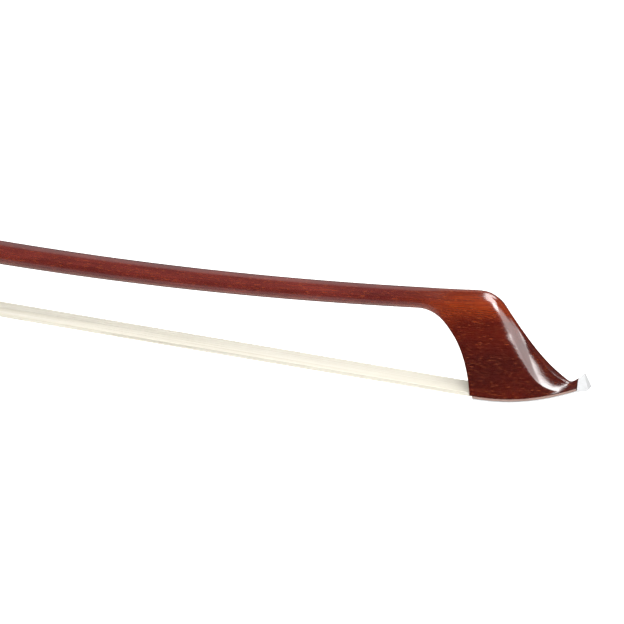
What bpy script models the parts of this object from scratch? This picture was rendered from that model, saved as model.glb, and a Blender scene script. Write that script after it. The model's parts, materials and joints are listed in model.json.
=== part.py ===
"""Double bass bow, French pattern, with its frog and adjuster. Metres, +Z up, head towards +X.

The bow lies as it is put down, hair side down, on the frog's underside and the tip plate. The stick and the
tip are drawn in the head's frame, whose origin is the rear corner of the tip plate. The frog is drawn in the
frog's frame, whose origin is the foot of the ferrule's front face. Both are parallel to the world's frame.
"""
from math import cos, pi, radians, sin

import bmesh
import bpy
import numpy as np

# Driving dimensions, whole bow
HAIR_LENGTH = 0.568
HANDLE_AXIS_Z = 0.0296
HANDLE_WIDTH = 0.0120
CAMBER_LOW_Z = 0.02355
CAMBER_LOW_BACK = 0.175
HEAD_AXIS_Z = 0.0320
HEAD_AXIS_BACK = 0.012
STICK_TIP_DIAMETER = 0.0071
OCTAGON_PAST_FROG = 0.0080
ROUND_EASE = 0.0045

# Head, in side view from the tip plate's rear corner
HEAD_WIDTH = 0.0120
HEAD_TOP_WIDTH = 0.0071
THROAT_START = 0.022
THROAT_REACH = 0.0123
THROAT_DROP = 0.0149
THROAT_LEAN = 0.0018
FOOT_OVERHANG = 0.0010
CROWN_START = 0.0080
CROWN_REACH = 0.0104
SHOULDER_REACH = 0.01035
SHOULDER_Z = 0.0306
SHOULDER_PULL = (0.0059, -0.0076)
FACE_PULL = (0.0081, -0.0104)
HOLLOW_REACH = 0.0314
HOLLOW_Z = 0.0100
HOLLOW_PULL = (-0.0076, 0.0041)
LIP_FORWARD = 0.0034
LIP_Z = 0.0115
LIP_PULL = 0.0010
LIP_WIDTH = 0.0038
LIP_CORNER_DROP = 0.0013
RIDGE_ROUNDS = (0.0011, 0.0018, 0.0003)  # at the crown, on the face above the hollow, at the lip

# Bevel between cheek and chamfer, set out from the shoulder and the hollow
BEVEL_START_RISE = 0.0011
BEVEL_TOP_BACK = 0.00535
BEVEL_TOP_RISE = 0.0036
BEVEL_TOP_PULL = (0.0040, -0.0010)
BEVEL_MIDDLE_FORWARD = 0.00185
BEVEL_MIDDLE_DROP = 0.0084
BEVEL_FOOT_BACK = 0.0024
BEVEL_FOOT_RISE = 0.0003
BEVEL_ROUND_TOP = 0.0014
BEVEL_ROUND_FOOT = 0.0003
CHEEK_ROUND_TOP = 0.0012
CHEEK_ROUND_FOOT = 0.0003
SCOOP = 0.55
SCOOP_SHAPE = np.array((0.35, 0.12, 0.9))  # the bevel's share in the scooped curve's middle, along X, Y and Z
RIDGE_FALL = 0.42
BEVEL_SWEEP = ((0.21, 0.39), (0.42, 0.78), 0.37)
LIP_RISE = (1.6, 1.4)
ROUND_END = 0.42

# Tip plate, liner and mortise
PLATE_ARC_RADIUS = 0.089
PLATE_THICKNESS = 0.00045
PLATE_STRAIGHT_SHARE = 0.25
PLATE_CURVE_POWER = 1.7
LINER_THICKNESS = 0.0007
BEAK_LENGTH = 0.0042
BEAK_TOP_Z = 0.0133
BEAK_TOP_LEAN = 0.0014
BEAK_TOP_LENGTH = 0.0005
BEAK_TOP_WIDTH = 0.0012
BEAK_TIP_WIDTH = 0.0027
BEAK_TIP_RISE = 0.0006
BEAK_TIP_ROUND = 0.0008
TIP_MORTISE_LENGTH = 0.0100
TIP_MORTISE_DEPTH = 0.0080
TIP_MORTISE_WALL = 0.0025

# Hair
HAIR_WIDTH_TIP = 0.0090
HAIR_WIDTH_SPREAD = 0.0110
HAIR_WIDTH_FROG = 0.0130
HAIR_THICKNESS = 0.0015
HAIR_OUTER_Z_TIP = 0.0005
HAIR_OUTER_Z_FROG = 0.0010
HAIR_SPREAD_LENGTH = 0.007
HAIR_BEND = 0.0012
HAIR_LEVEL_IN_FROG = 0.0110
HAIR_RISE_LENGTH = 0.0040
HAIR_NARROWING = 0.0014
TIP_KNOT_RADIUS = 0.0013
FROG_KNOT_RADIUS = 0.0016
KNOT_INSET = 0.0006

# Frog, lengths run back from the ferrule's front face
FROG_LENGTH = 0.062
FROG_WIDTH = 0.0164
FROG_TOP_WIDTH = 0.0128
FROG_TOP_FRONT = 0.0095
FROG_TOP_REAR = 0.0575
FROG_SIDE_HEIGHT = 0.0065
FROG_HOLLOW_POWER = 2.2
FROG_LEDGE = 0.0018
FROG_BACK_PULLS = ((-0.0004, -0.0060), (0.0022, 0.0050))
FERRULE_LENGTH = 0.0150
FERRULE_WIDTH = 0.0168
FERRULE_HEIGHT = 0.0096
FERRULE_WALL = 0.0007
FERRULE_SPRING = 0.0030
TONGUE_INSET = 0.0012
WEDGE_LENGTH = 0.0080
WEDGE_THICKNESS = 0.0016
WEDGE_INSET = 0.0005
THUMB_ARCH_RADIUS = 0.0060
THUMB_ARCH_BACK = 0.0125
THUMB_ARCH_Z = 0.0158
THUMB_ARCH_TURN = 1.25
UNDERSLIDE_THICKNESS = 0.0005
UNDERSLIDE_INSET = 0.0006
SLIDE_WIDTH = 0.0104
SLIDE_LAYER = 0.0012
SLIDE_DOVETAIL = 0.0008
FROG_MORTISE_BACK = 0.0205
FROG_MORTISE_LENGTH = 0.0125
FROG_MORTISE_TOP = 0.0112
HEEL_PLATE_THICKNESS = 0.0007
HEEL_PLATE_LENGTH = 0.0080
HEEL_PLATE_HEIGHT = 0.0105
EYE_BACK = 0.0400
EYE_Z = 0.0118
EYE_RADIUS = 0.0032
EYE_RING_WALL = 0.0007
EYE_DEPTH = 0.0016

# Eyelet, screw and button
EYELET_BACK = 0.0440
EYELET_POST_RADIUS = 0.0020
EYELET_POST_DEPTH = 0.0070
EYELET_WIDTH = 0.0044
EYELET_LENGTH = 0.0060
EYELET_HEIGHT = 0.0068
SCREW_RADIUS = 0.0016
SCREW_REACH = 0.0420
SCREW_IN_BUTTON = 0.0150
TRAVEL_SLACK = 0.0050
TRAVEL_TIGHT = 0.0025
BUTTON_GAP = 0.0045
BUTTON_LENGTH = 0.0190
BUTTON_WIDTH = 0.0124
BARREL_SHARE = 0.97
COLLAR_LENGTH = 0.0032
NIPPLE_RADIUS = 0.0036
NIPPLE_LENGTH = 0.0022
BUTTON_EYE_RADIUS = 0.0030
BUTTON_EYE_DEPTH = 0.0012

# Grip
LEATHER_LENGTH = 0.034
LEATHER_THICKNESS = 0.0011
LEATHER_BACK = 0.0020
LAPPING_TURNS = 16
LAPPING_PITCH = 0.0028
LAPPING_THICKNESS = 0.0019

# Clearances
GAP = 0.0003
LAYER_GAP = 0.0001
BORE_GAP = 0.0004
OVERCUT = 0.001

# Facets: sides of the stick, and steps round half a section of the head from its rear edge to its ridge
SIDES = 32
HEAD_STEPS = (2, 2, 4, 3, 3, 2)
THROAT_STATIONS = 18
FACE_STATIONS = 14
LOOP_POINTS = 24
FILL_SCALE = 1000.0  # flat outlines are filled in millimetres, where the curve's fill keeps thin strips

# Worked out from the above
LIP_REACH = HOLLOW_REACH + LIP_FORWARD
LAYERS = PLATE_THICKNESS + LINER_THICKNESS + 2 * LAYER_GAP
OVERALL = LIP_REACH + BEAK_LENGTH + HAIR_LENGTH + FROG_LENGTH + BUTTON_GAP + BUTTON_LENGTH + GAP
CORNER_X = OVERALL / 2 - LIP_REACH - BEAK_LENGTH
FROG_X = CORNER_X - HAIR_LENGTH
BUTT_X = FROG_X - FROG_LENGTH - BUTTON_GAP
BUTT = BUTT_X - CORNER_X
OCTAGON_FRONT = -HAIR_LENGTH - OCTAGON_PAST_FROG
ROUND_BACK = OCTAGON_FRONT + ROUND_EASE
STRAIGHT_FRONT = -HAIR_LENGTH + LEATHER_LENGTH
TIP_RADIUS = STICK_TIP_DIAMETER / 2
HANDLE_RADIUS = HANDLE_WIDTH / 2
SLIDE_DEPTH = 2 * SLIDE_LAYER + LAYER_GAP
FROG_HAIR_HALF = HAIR_WIDTH_FROG / 2 - HAIR_NARROWING

# Colour, roughness and metallic value of each material
WOOD = ((0.26, 0.055, 0.03), 0.28, 0.0)
FIBRE = ((0.55, 0.33, 0.26), 0.6, 0.0)
SILVER = ((0.8, 0.8, 0.79), 0.27, 1.0)
THREAD = ((0.7, 0.7, 0.7), 0.3, 1.0)
HAIR = ((0.86, 0.81, 0.68), 0.5, 0.0)
KNOT = ((0.75, 0.68, 0.5), 0.7, 0.0)
PLUG = ((0.62, 0.42, 0.24), 0.6, 0.0)
EBONY = ((0.02, 0.017, 0.016), 0.3, 0.0)
PEARL = ((0.75, 0.78, 0.76), 0.2, 0.0)
BRASS = ((0.6, 0.42, 0.15), 0.3, 1.0)
STEEL = ((0.55, 0.55, 0.56), 0.35, 1.0)
LEATHER = ((0.05, 0.03, 0.02), 0.7, 0.0)

FAR = 0.1  # past the end of any cut that runs right through


def clear_scene():
    for item in list(bpy.data.objects):
        bpy.data.objects.remove(item, do_unlink=True)


def make_material(name, colour, roughness, metallic):
    material = bpy.data.materials.new(name)
    material.use_nodes = True
    shader = material.node_tree.nodes["Principled BSDF"]
    shader.inputs["Base Color"].default_value = (*colour, 1.0)
    shader.inputs["Roughness"].default_value = roughness
    shader.inputs["Metallic"].default_value = metallic
    return material


def face_outwards(bm):
    """Makes the faces agree and point out of the solid."""
    bmesh.ops.recalc_face_normals(bm, faces=bm.faces)
    if bm.calc_volume(signed=True) < 0:
        bmesh.ops.reverse_faces(bm, faces=bm.faces)


def add_mesh(name, points, faces, parent=None, material=None, smooth=30.0):
    mesh = bpy.data.meshes.new(name)
    mesh.from_pydata([tuple(map(float, p)) for p in points], [], [tuple(map(int, f)) for f in faces])
    bm = bmesh.new()
    bm.from_mesh(mesh)
    face_outwards(bm)
    bm.to_mesh(mesh)
    bm.free()
    part = bpy.data.objects.new(name, mesh)
    return finish_part(part, parent, material, smooth)


def finish_part(part, parent=None, material=None, smooth=30.0):
    """Puts a part in the bow's collection, under its frame's empty, with its own material."""
    if part.name not in collection.objects:
        collection.objects.link(part)
    part.parent = parent
    if material:
        part.data.materials.clear()
        part.data.materials.append(make_material(part.name, *material))
    part.data.shade_smooth()
    part.data.set_sharp_from_angle(angle=radians(smooth))
    return part


def mesh_from_curve(name, curve):
    """The curve's filled or bevelled surface as a mesh."""
    source = bpy.data.objects.new(name + "_curve", curve)
    collection.objects.link(source)
    graph = bpy.context.evaluated_depsgraph_get()
    mesh = bpy.data.meshes.new_from_object(source.evaluated_get(graph))
    bpy.data.objects.remove(source, do_unlink=True)
    mesh.name = name
    return mesh


def loft(name, sections, parent=None, material=None, smooth=30.0):
    """Skins a row of closed sections that have the same number of points, and caps both flat ends."""
    rows, around = sections.shape[:2]
    index = np.arange(rows * around).reshape(rows, around)
    ahead = np.roll(index, -1, axis=1)
    quads = np.stack([index[:-1], ahead[:-1], ahead[1:], index[1:]], axis=-1).reshape(-1, 4)
    faces = [*quads, index[0], index[-1]]
    return add_mesh(name, sections.reshape(-1, 3), faces, parent, material, smooth)


def outline_solid(name, outline, low, high, plane, parent=None, material=None, smooth=30.0):
    """A flat outline as a filled 2D curve, extruded from low to high along the plane's normal.

    Plane XZ takes (x, z) points and runs along Y. Plane YZ takes (y, z) and runs along X. Plane XY runs
    along Z.
    """
    curve = bpy.data.curves.new(name, "CURVE")
    curve.dimensions = "2D"
    curve.fill_mode = "BOTH"
    curve.extrude = (high - low) / 2 * FILL_SCALE
    spline = curve.splines.new("POLY")
    spline.points.add(len(outline) - 1)
    for point, (a, b) in zip(spline.points, outline):
        point.co = (a * FILL_SCALE, b * FILL_SCALE, 0.0, 1.0)
    spline.use_cyclic_u = True
    mesh = mesh_from_curve(name, curve)
    bm = bmesh.new()
    bm.from_mesh(mesh)
    bmesh.ops.remove_doubles(bm, verts=bm.verts, dist=1e-4)
    middle = (low + high) / 2
    for vert in bm.verts:
        a, b, c = vert.co / FILL_SCALE
        if plane == "XZ":
            vert.co = (a, c + middle, b)
        elif plane == "YZ":
            vert.co = (c + middle, a, b)
        else:
            vert.co = (a, b, c + middle)
    face_outwards(bm)
    bm.to_mesh(mesh)
    bm.free()
    return finish_part(bpy.data.objects.new(name, mesh), parent, material, smooth)


def box(name, low, high, parent=None, material=None):
    outline = [(low[0], low[2]), (high[0], low[2]), (high[0], high[2]), (low[0], high[2])]
    return outline_solid(name, outline, low[1], high[1], "XZ", parent, material)


def rod(name, axis, start, end, radius, centre, parent=None, material=None, sides=SIDES):
    """A cylinder along X, Y or Z from start to end; centre holds the other two coordinates in order."""
    turn = (np.arange(sides) + 0.5) * 2 * pi / sides
    ring = np.stack([centre[0] + radius * np.cos(turn), centre[1] + radius * np.sin(turn)], axis=1)
    order = {"X": (2, 0, 1), "Y": (0, 2, 1), "Z": (0, 1, 2)}[axis]
    sections = np.array([np.column_stack([ring, np.full(sides, place)]) for place in (start, end)])
    return loft(name, sections[:, :, order], parent, material)


def cut(part, cutter, operation="DIFFERENCE"):
    """Cuts the part with a hidden cutter that stays in the file as a wire guide."""
    for owner in list(cutter.users_collection):
        owner.objects.unlink(cutter)
    cutters.objects.link(cutter)
    cutter.hide_render = True
    cutter.display_type = "WIRE"
    change = part.modifiers.new(cutter.name, "BOOLEAN")
    change.operation = operation
    change.object = cutter
    change.solver = "EXACT"


def blend_step(value):
    value = np.clip(value, 0.0, 1.0)
    return value * value * (3 - 2 * value)


def bezier(start, start_pull, end, end_pull, count=40):
    """A cubic from start to end; each pull is the handle's offset from its own end."""
    start, end = np.array(start, float), np.array(end, float)
    one, two = start + np.array(start_pull, float), end + np.array(end_pull, float)
    t = np.linspace(0, 1, count)[:, None]
    return (1 - t) ** 3 * start + 3 * (1 - t) ** 2 * t * one + 3 * (1 - t) * t ** 2 * two + t ** 3 * end


def plate_arc(x):
    """Height of the tip plate's underside: level up to the corner, then an arc that rises to the beak."""
    x = np.maximum(np.asarray(x, float), 0.0)
    return PLATE_ARC_RADIUS - np.sqrt(PLATE_ARC_RADIUS ** 2 - x ** 2)


def plate_half(x):
    """Half width of the tip plate: straight sides that close in on the beak in a curve."""
    start = PLATE_STRAIGHT_SHARE * LIP_REACH
    share = np.clip((np.asarray(x, float) - start) / (LIP_REACH - start), 0, 1)
    return LIP_WIDTH / 2 + (HEAD_WIDTH - LIP_WIDTH) / 2 * (1 - share ** PLATE_CURVE_POWER)


def cheek_half(x, z):
    """Half width of the head: the plate's outline, with cheeks that lean in towards the top."""
    return plate_half(x) - (HEAD_WIDTH - HEAD_TOP_WIDTH) / 2 * z / HEAD_AXIS_Z


def axis_height(x):
    """Height of the stick's axis: level handle, gentle fall to the lowest point, parabola up to the head."""
    x = np.asarray(x, float)
    low = -CAMBER_LOW_BACK
    reach = CAMBER_LOW_BACK - HEAD_AXIS_BACK
    head = CAMBER_LOW_Z + (HEAD_AXIS_Z - CAMBER_LOW_Z) * ((x - low) / reach) ** 2
    share = blend_step((x - STRAIGHT_FRONT) / (low - STRAIGHT_FRONT))
    fall = HANDLE_AXIS_Z + (CAMBER_LOW_Z - HANDLE_AXIS_Z) * share
    return np.where(x > low, head, fall)


def axis_slope(x, step=0.001):
    return float(axis_height(x + step) - axis_height(x - step)) / (2 * step)


def stick_radius(x):
    """Straight taper from the round end of the handle to the throat."""
    share = np.clip((np.asarray(x, float) - ROUND_BACK) / (-THROAT_START - ROUND_BACK), 0.0, 1.0)
    return HANDLE_RADIUS + (TIP_RADIUS - HANDLE_RADIUS) * share


def half_turn(count=SIDES // 2):
    """Angles from the underside to the top."""
    return np.linspace(0, pi, count + 1)


def stick_sections():
    """Half sections from the butt to where the throat starts: the octagonal handle, then the round stick."""
    turn = half_turn()
    circle = np.column_stack([-np.cos(turn), np.sin(turn)])
    octagon = circle / np.cos((turn + pi / 8) % (pi / 4) - pi / 8)[:, None]
    stations = [(BUTT, 0.0), (OCTAGON_FRONT, 0.0), (ROUND_BACK, 1.0)]
    stations += [(x, 1.0) for x in np.linspace(ROUND_BACK, -THROAT_START, 34)[1:-1]]
    rings = []
    for x, share in stations:
        half = (octagon + (circle - octagon) * share) * stick_radius(x)
        rings.append(np.column_stack([np.full(len(half), x), half[:, 1], axis_height(x) + half[:, 0]]))
    return rings


def head_rails():
    """The head's three lines in side view: throat and bed, bevel, and ridge with crown, hollow and lip.

    Each comes with the x at which the stations go over from the throat to the face.
    """
    start = -THROAT_START
    slope = axis_slope(start)
    under = (start, float(axis_height(start)) - TIP_RADIUS)
    foot = (-FOOT_OVERHANG, LAYERS)
    throat = bezier(under, (THROAT_REACH, THROAT_REACH * slope), foot, (-THROAT_LEAN, THROAT_DROP))
    bed_x = np.linspace(-FOOT_OVERHANG, LIP_REACH, 40)
    lower = np.vstack([throat[:-1], np.column_stack([bed_x, plate_arc(bed_x) + LAYERS])])

    top_x = np.linspace(start, -CROWN_START, 8)
    top = np.column_stack([top_x, axis_height(top_x) + TIP_RADIUS])
    shoulder = np.array((SHOULDER_REACH, SHOULDER_Z))
    hollow = np.array((HOLLOW_REACH, HOLLOW_Z))
    crown_pull = (CROWN_REACH, CROWN_REACH * axis_slope(-CROWN_START))
    lip = np.array((LIP_REACH, LIP_Z))
    out_of_hollow = -np.array(HOLLOW_PULL) * LIP_PULL / abs(HOLLOW_PULL[0])
    crown = bezier(top[-1], crown_pull, shoulder, -np.array(SHOULDER_PULL))
    face = bezier(shoulder, FACE_PULL, hollow, HOLLOW_PULL)
    tip = bezier(hollow, out_of_hollow, lip, (-LIP_PULL, -LIP_PULL), 10)
    ridge = np.vstack([top[:-1], crown[:-1], face[:-1], tip])

    bevel_start = (start, float(axis_height(start)) + BEVEL_START_RISE)
    bevel_top = shoulder + (-BEVEL_TOP_BACK, BEVEL_TOP_RISE)
    middle = shoulder + (BEVEL_MIDDLE_FORWARD, -BEVEL_MIDDLE_DROP)
    cove_x = HOLLOW_REACH - BEVEL_FOOT_BACK
    cove_foot = np.array((cove_x, float(plate_arc(cove_x)) + LAYERS + BEVEL_FOOT_RISE))
    corner = lip - (0.0, LIP_CORNER_DROP)
    along_top = (bevel_top[0] - start) / 2
    down = middle - bevel_top
    sweep = cove_foot - middle
    above, below, level = BEVEL_SWEEP
    out, back = np.array(LIP_RISE) * LIP_PULL
    side = bezier(bevel_start, (along_top, along_top * slope), bevel_top, -np.array(BEVEL_TOP_PULL))
    edge = bezier(bevel_top, BEVEL_TOP_PULL, middle, -sweep * above)
    cove = bezier(middle, sweep * below, cove_foot, (-sweep[0] * level, 0.0))
    rise = bezier(cove_foot, (out, 0.0), corner, (-back, -back), 12)
    bevel = np.vstack([side[:-1], edge[:-1], cove[:-1], rise])
    bevel_joint, ridge_joint = shoulder[0] + down[0] / 6, shoulder[0] + FACE_PULL[0] / 2
    return (lower, -FOOT_OVERHANG), (bevel, bevel_joint), (ridge, ridge_joint)


def spaced(path, joint_x, before, after):
    """Points at even steps along a polyline, with a station where it passes joint_x."""
    steps = np.hypot(*np.diff(path, axis=0).T)
    length = np.concatenate([[0.0], np.cumsum(steps)])
    joint = np.interp(joint_x, path[:, 0], length)
    at = np.concatenate([np.linspace(0, joint, before + 1), np.linspace(joint, length[-1], after + 1)[1:]])
    return np.column_stack([np.interp(at, length, path[:, 0]), np.interp(at, length, path[:, 1])])


def straight(start, end, count):
    t = np.arange(count)[:, None] / count
    return start + (end - start) * t


def bend(start, middle, end, count):
    t = np.arange(count)[:, None] / count
    return (1 - t) ** 2 * start + 2 * t * (1 - t) * middle + t ** 2 * end


def towards(start, end, length):
    return start + (end - start) * length / np.linalg.norm(end - start)


def head_sections():
    """Half sections of the head, lofted along its three rails.

    Up to the foot the sections fan round the throat. From there on they stand on the plate's bed and end at
    the lip. Each has a rear or lower face, a cheek and a chamfer up to the ridge. The edges between them go
    from the round of the stick to crisp ones at the plate, and the chamfer is scooped out towards the lip.
    """
    rails = [spaced(path, joint, THROAT_STATIONS, FACE_STATIONS) for path, joint in head_rails()]
    turn = half_turn(sum(HEAD_STEPS))
    circle = np.column_stack([-np.cos(turn), np.sin(turn)])
    rings = []
    for i, (low, middle, high) in enumerate(zip(*rails)):
        on_throat = min(1.0, i / THROAT_STATIONS)
        on_bed = max(0.0, (i - THROAT_STATIONS) / FACE_STATIONS)
        low_half = float(plate_half(low[0])) if on_bed else float(cheek_half(*low))
        bevel_half = min(float(cheek_half(*middle)), low_half) if on_bed else float(cheek_half(*middle))
        centre = np.array((low[0], 0.0, low[1]))
        edge = np.array((low[0], low_half, low[1]))
        bevel = np.array((middle[0], bevel_half, middle[1]))
        ridge = np.array((high[0], 0.0, high[1]))
        up = towards(centre, ridge, 1.0) - centre
        ridge_round = float(np.interp(on_bed, (0.0, 0.7, 1.0), RIDGE_ROUNDS))
        crest = ridge + (0.0, ridge_round, 0.0) - up * ridge_round * RIDGE_FALL
        crest_pull = ridge + (0.0, ridge_round * RIDGE_FALL, 0.0)
        edge_round = CHEEK_ROUND_TOP + (CHEEK_ROUND_FOOT - CHEEK_ROUND_TOP) * blend_step(on_throat)
        edge_round += (LAYER_GAP - edge_round) * min(1.0, on_bed * FACE_STATIONS)
        bevel_round = BEVEL_ROUND_TOP + (BEVEL_ROUND_FOOT - BEVEL_ROUND_TOP) * blend_step(2 * on_throat - 1)
        bevel_round += (LAYER_GAP - bevel_round) * blend_step(on_bed)
        room = np.linalg.norm(bevel - edge) * 0.4
        edge_round, bevel_round = min(edge_round, room), min(bevel_round, room)
        scoop = SCOOP * blend_step(on_throat - 0.5 + on_bed)
        past_bevel = towards(bevel, crest, bevel_round)
        scooped = past_bevel * SCOOP_SHAPE + crest * (1 - SCOOP_SHAPE)
        inwards = (past_bevel + crest) / 2 * (1 - scoop) + scooped * scoop
        half = np.vstack([
            straight(centre, towards(edge, centre, edge_round), HEAD_STEPS[0]),
            bend(towards(edge, centre, edge_round), edge, towards(edge, bevel, edge_round), HEAD_STEPS[1]),
            straight(towards(edge, bevel, edge_round), towards(bevel, edge, bevel_round), HEAD_STEPS[2]),
            bend(towards(bevel, edge, bevel_round), bevel, past_bevel, HEAD_STEPS[3]),
            bend(past_bevel, inwards, crest, HEAD_STEPS[4]),
            bend(crest, crest_pull, ridge, HEAD_STEPS[5]), [ridge]])
        across = (ridge - centre) / 2
        round_half = (ridge + centre) / 2 + across * circle[:, :1]
        round_half[:, 1] = TIP_RADIUS * circle[:, 1]
        rings.append(round_half + (half - round_half) * blend_step(on_throat / ROUND_END))
    return rings


def make_stick(frame):
    """One loft from butt to lip, then the head mortise, hair way, screw hole and eyelet slot are cut."""
    halves = np.array(stick_sections() + head_sections())
    rings = np.concatenate([halves * (1, -1, 1), halves[:, -2:0:-1]], axis=1)
    stick = loft("stick", rings, frame, WOOD)
    back, front = TIP_MORTISE_WALL, TIP_MORTISE_WALL + TIP_MORTISE_LENGTH
    half = HAIR_WIDTH_TIP / 2 + GAP
    below = -2 * OVERCUT
    cut(stick, box("cut_tip_mortise", (back, -half, below), (front, half, TIP_MORTISE_DEPTH), frame))
    way_top = HAIR_OUTER_Z_TIP + HAIR_THICKNESS + GAP
    way_back = -FOOT_OVERHANG - 3 * OVERCUT
    cut(stick, box("cut_tip_hair_way", (way_back, -half, below), (back + OVERCUT, half, way_top), frame))
    axis = (0, HANDLE_AXIS_Z)
    bore = SCREW_RADIUS + BORE_GAP
    bore_end = BUTT + SCREW_REACH + TRAVEL_TIGHT
    cut(stick, rod("cut_screw_hole", "X", BUTT - OVERCUT, bore_end, bore, axis, frame, sides=16))
    eyelet_x = -HAIR_LENGTH - EYELET_BACK
    slot_low = eyelet_x - EYELET_LENGTH / 2 - TRAVEL_TIGHT - OVERCUT
    slot_high = eyelet_x + EYELET_LENGTH / 2 + TRAVEL_SLACK + OVERCUT
    slot_half = EYELET_WIDTH / 2 + BORE_GAP
    slot_top = HANDLE_AXIS_Z + EYELET_HEIGHT / 2 + BORE_GAP
    floor = HANDLE_AXIS_Z - HANDLE_WIDTH
    cut(stick, box("cut_eyelet_slot", (slot_low, -slot_half, floor), (slot_high, slot_half, slot_top), frame))
    cut(stick, nipple_cutter(frame))


def nipple_cutter(frame):
    """Turns the stick's end down to the nipple that the button's collar runs on."""
    step = BUTT + NIPPLE_LENGTH
    centre = (0, HANDLE_AXIS_Z)
    sleeve = rod("cut_nipple", "X", BUTT - OVERCUT, step, HANDLE_WIDTH, centre, frame)
    cut(sleeve, rod("cut_nipple_core", "X", BUTT - 2 * OVERCUT, step + OVERCUT, NIPPLE_RADIUS, centre, frame))
    return sleeve


def tip_plan():
    """Plan of the tip plate and its beak, run past both ends to cut cleanly."""
    x = np.linspace(0, LIP_REACH, 14)
    half = plate_half(x)
    x = np.append(x, LIP_REACH + BEAK_LENGTH)
    half = np.append(half, BEAK_TIP_WIDTH / 2)
    x[[0, -1]] += (-OVERCUT, OVERCUT)
    near = np.column_stack([x, -half])
    return [tuple(p) for p in near] + [tuple(p) for p in near[::-1] * (1, -1)]


def arc_strip(low, high, front):
    """Side view of a layer that follows the plate's arc between two heights."""
    x = np.linspace(0, front, 14)
    lower = [(a, float(plate_arc(a)) + low) for a in x]
    upper = [(a, float(plate_arc(a)) + high) for a in x[::-1]]
    return lower, upper


def make_tip(frame):
    """Fibre liner, and the silver plate that turns up into the beak."""
    half = HAIR_WIDTH_TIP / 2 + GAP
    high = LIP_REACH
    window = (-2 * OVERCUT, -half, -2 * OVERCUT), (TIP_MORTISE_WALL + TIP_MORTISE_LENGTH, half, 4 * OVERCUT)
    low = PLATE_THICKNESS + LAYER_GAP
    lower, upper = arc_strip(low, low + LINER_THICKNESS, LIP_REACH)
    liner = outline_solid("tip_liner", lower + upper, -HEAD_WIDTH, HEAD_WIDTH, "XZ", frame, FIBRE)
    cut(liner, outline_solid("cut_liner_plan", tip_plan(), -high, high, "XY", frame), "INTERSECT")
    cut(liner, box("cut_liner_window", *window, frame))
    nose = LIP_REACH + GAP
    tip = LIP_REACH + BEAK_LENGTH
    foot = float(plate_arc(nose))
    top_x = nose + BEAK_TOP_LEAN
    lower, upper = arc_strip(0.0, PLATE_THICKNESS, nose)
    beak = [(tip - BEAK_TIP_ROUND, foot + BEAK_TIP_RISE), (tip, foot + BEAK_TIP_RISE + BEAK_TIP_ROUND),
            (top_x + BEAK_TOP_LENGTH, BEAK_TOP_Z), (top_x, BEAK_TOP_Z), (nose, LIP_Z)]
    plate = outline_solid("tip_plate", lower + beak + upper, -HEAD_WIDTH, HEAD_WIDTH, "XZ", frame, SILVER)
    cut(plate, outline_solid("cut_plate_plan", tip_plan(), -high, high, "XY", frame), "INTERSECT")
    step_z, top_z = foot + PLATE_THICKNESS + LAYER_GAP, BEAK_TOP_Z + LAYER_GAP
    right = [(HEAD_WIDTH, -OVERCUT), (HEAD_WIDTH, step_z), (LIP_WIDTH / 2 + LAYER_GAP, step_z),
             (BEAK_TOP_WIDTH / 2, top_z)]
    front_view = right + [(-y, z) for y, z in right[::-1]]
    front = outline_solid("cut_plate_front", front_view, -OVERCUT, tip + OVERCUT, "YZ", frame)
    cut(plate, front, "INTERSECT")
    cut(plate, box("cut_plate_window", *window, frame))


def make_hair(head):
    """The band of hair: a strip bent up into both mortises, widening from the tip to the frog."""
    wall = TIP_MORTISE_WALL + GAP
    z_tip, z_frog, t = HAIR_OUTER_Z_TIP, HAIR_OUTER_Z_FROG, HAIR_THICKNESS
    frog = -HAIR_LENGTH
    level, knot = frog - HAIR_LEVEL_IN_FROG, frog - FROG_MORTISE_BACK - GAP
    risen = level - HAIR_RISE_LENGTH
    floor = SLIDE_DEPTH + 2 * GAP
    tip_top, frog_top = TIP_MORTISE_DEPTH - GAP, FROG_MORTISE_TOP - GAP
    turn_x, turn_z = wall + t - HAIR_BEND / 3, z_tip + HAIR_BEND / 4
    lower = [(wall + t, tip_top), (wall + t, z_tip + HAIR_BEND), (turn_x, turn_z), (wall, z_tip),
             (frog, z_frog), (level, z_frog), (risen, floor), (knot - t, floor), (knot - t, frog_top)]
    upper = [(knot, frog_top), (knot, floor + t), (risen - GAP, floor + t), (level, z_frog + t),
             (frog, z_frog + t), (wall, z_tip + t), (wall, tip_top)]
    hair = outline_solid("hair_ribbon", lower + upper, -0.5, 0.5, "XZ", head, HAIR)
    spread = -HAIR_SPREAD_LENGTH
    bm = bmesh.new()
    bm.from_mesh(hair.data)
    for place in (spread, 0.0):
        everything = bm.verts[:] + bm.edges[:] + bm.faces[:]
        bmesh.ops.bisect_plane(bm, geom=everything, dist=1e-7, plane_co=(place, 0, 0), plane_no=(1, 0, 0))
    for vert in bm.verts:
        x = vert.co.x
        half = np.interp(x, [frog, spread, 0.0], [HAIR_WIDTH_FROG, HAIR_WIDTH_SPREAD, HAIR_WIDTH_TIP]) / 2
        if x < level - OVERCUT:
            half = FROG_HAIR_HALF
        vert.co.y = float(half) * (1 if vert.co.y > 0 else -1)
    bm.to_mesh(hair.data)
    bm.free()


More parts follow.
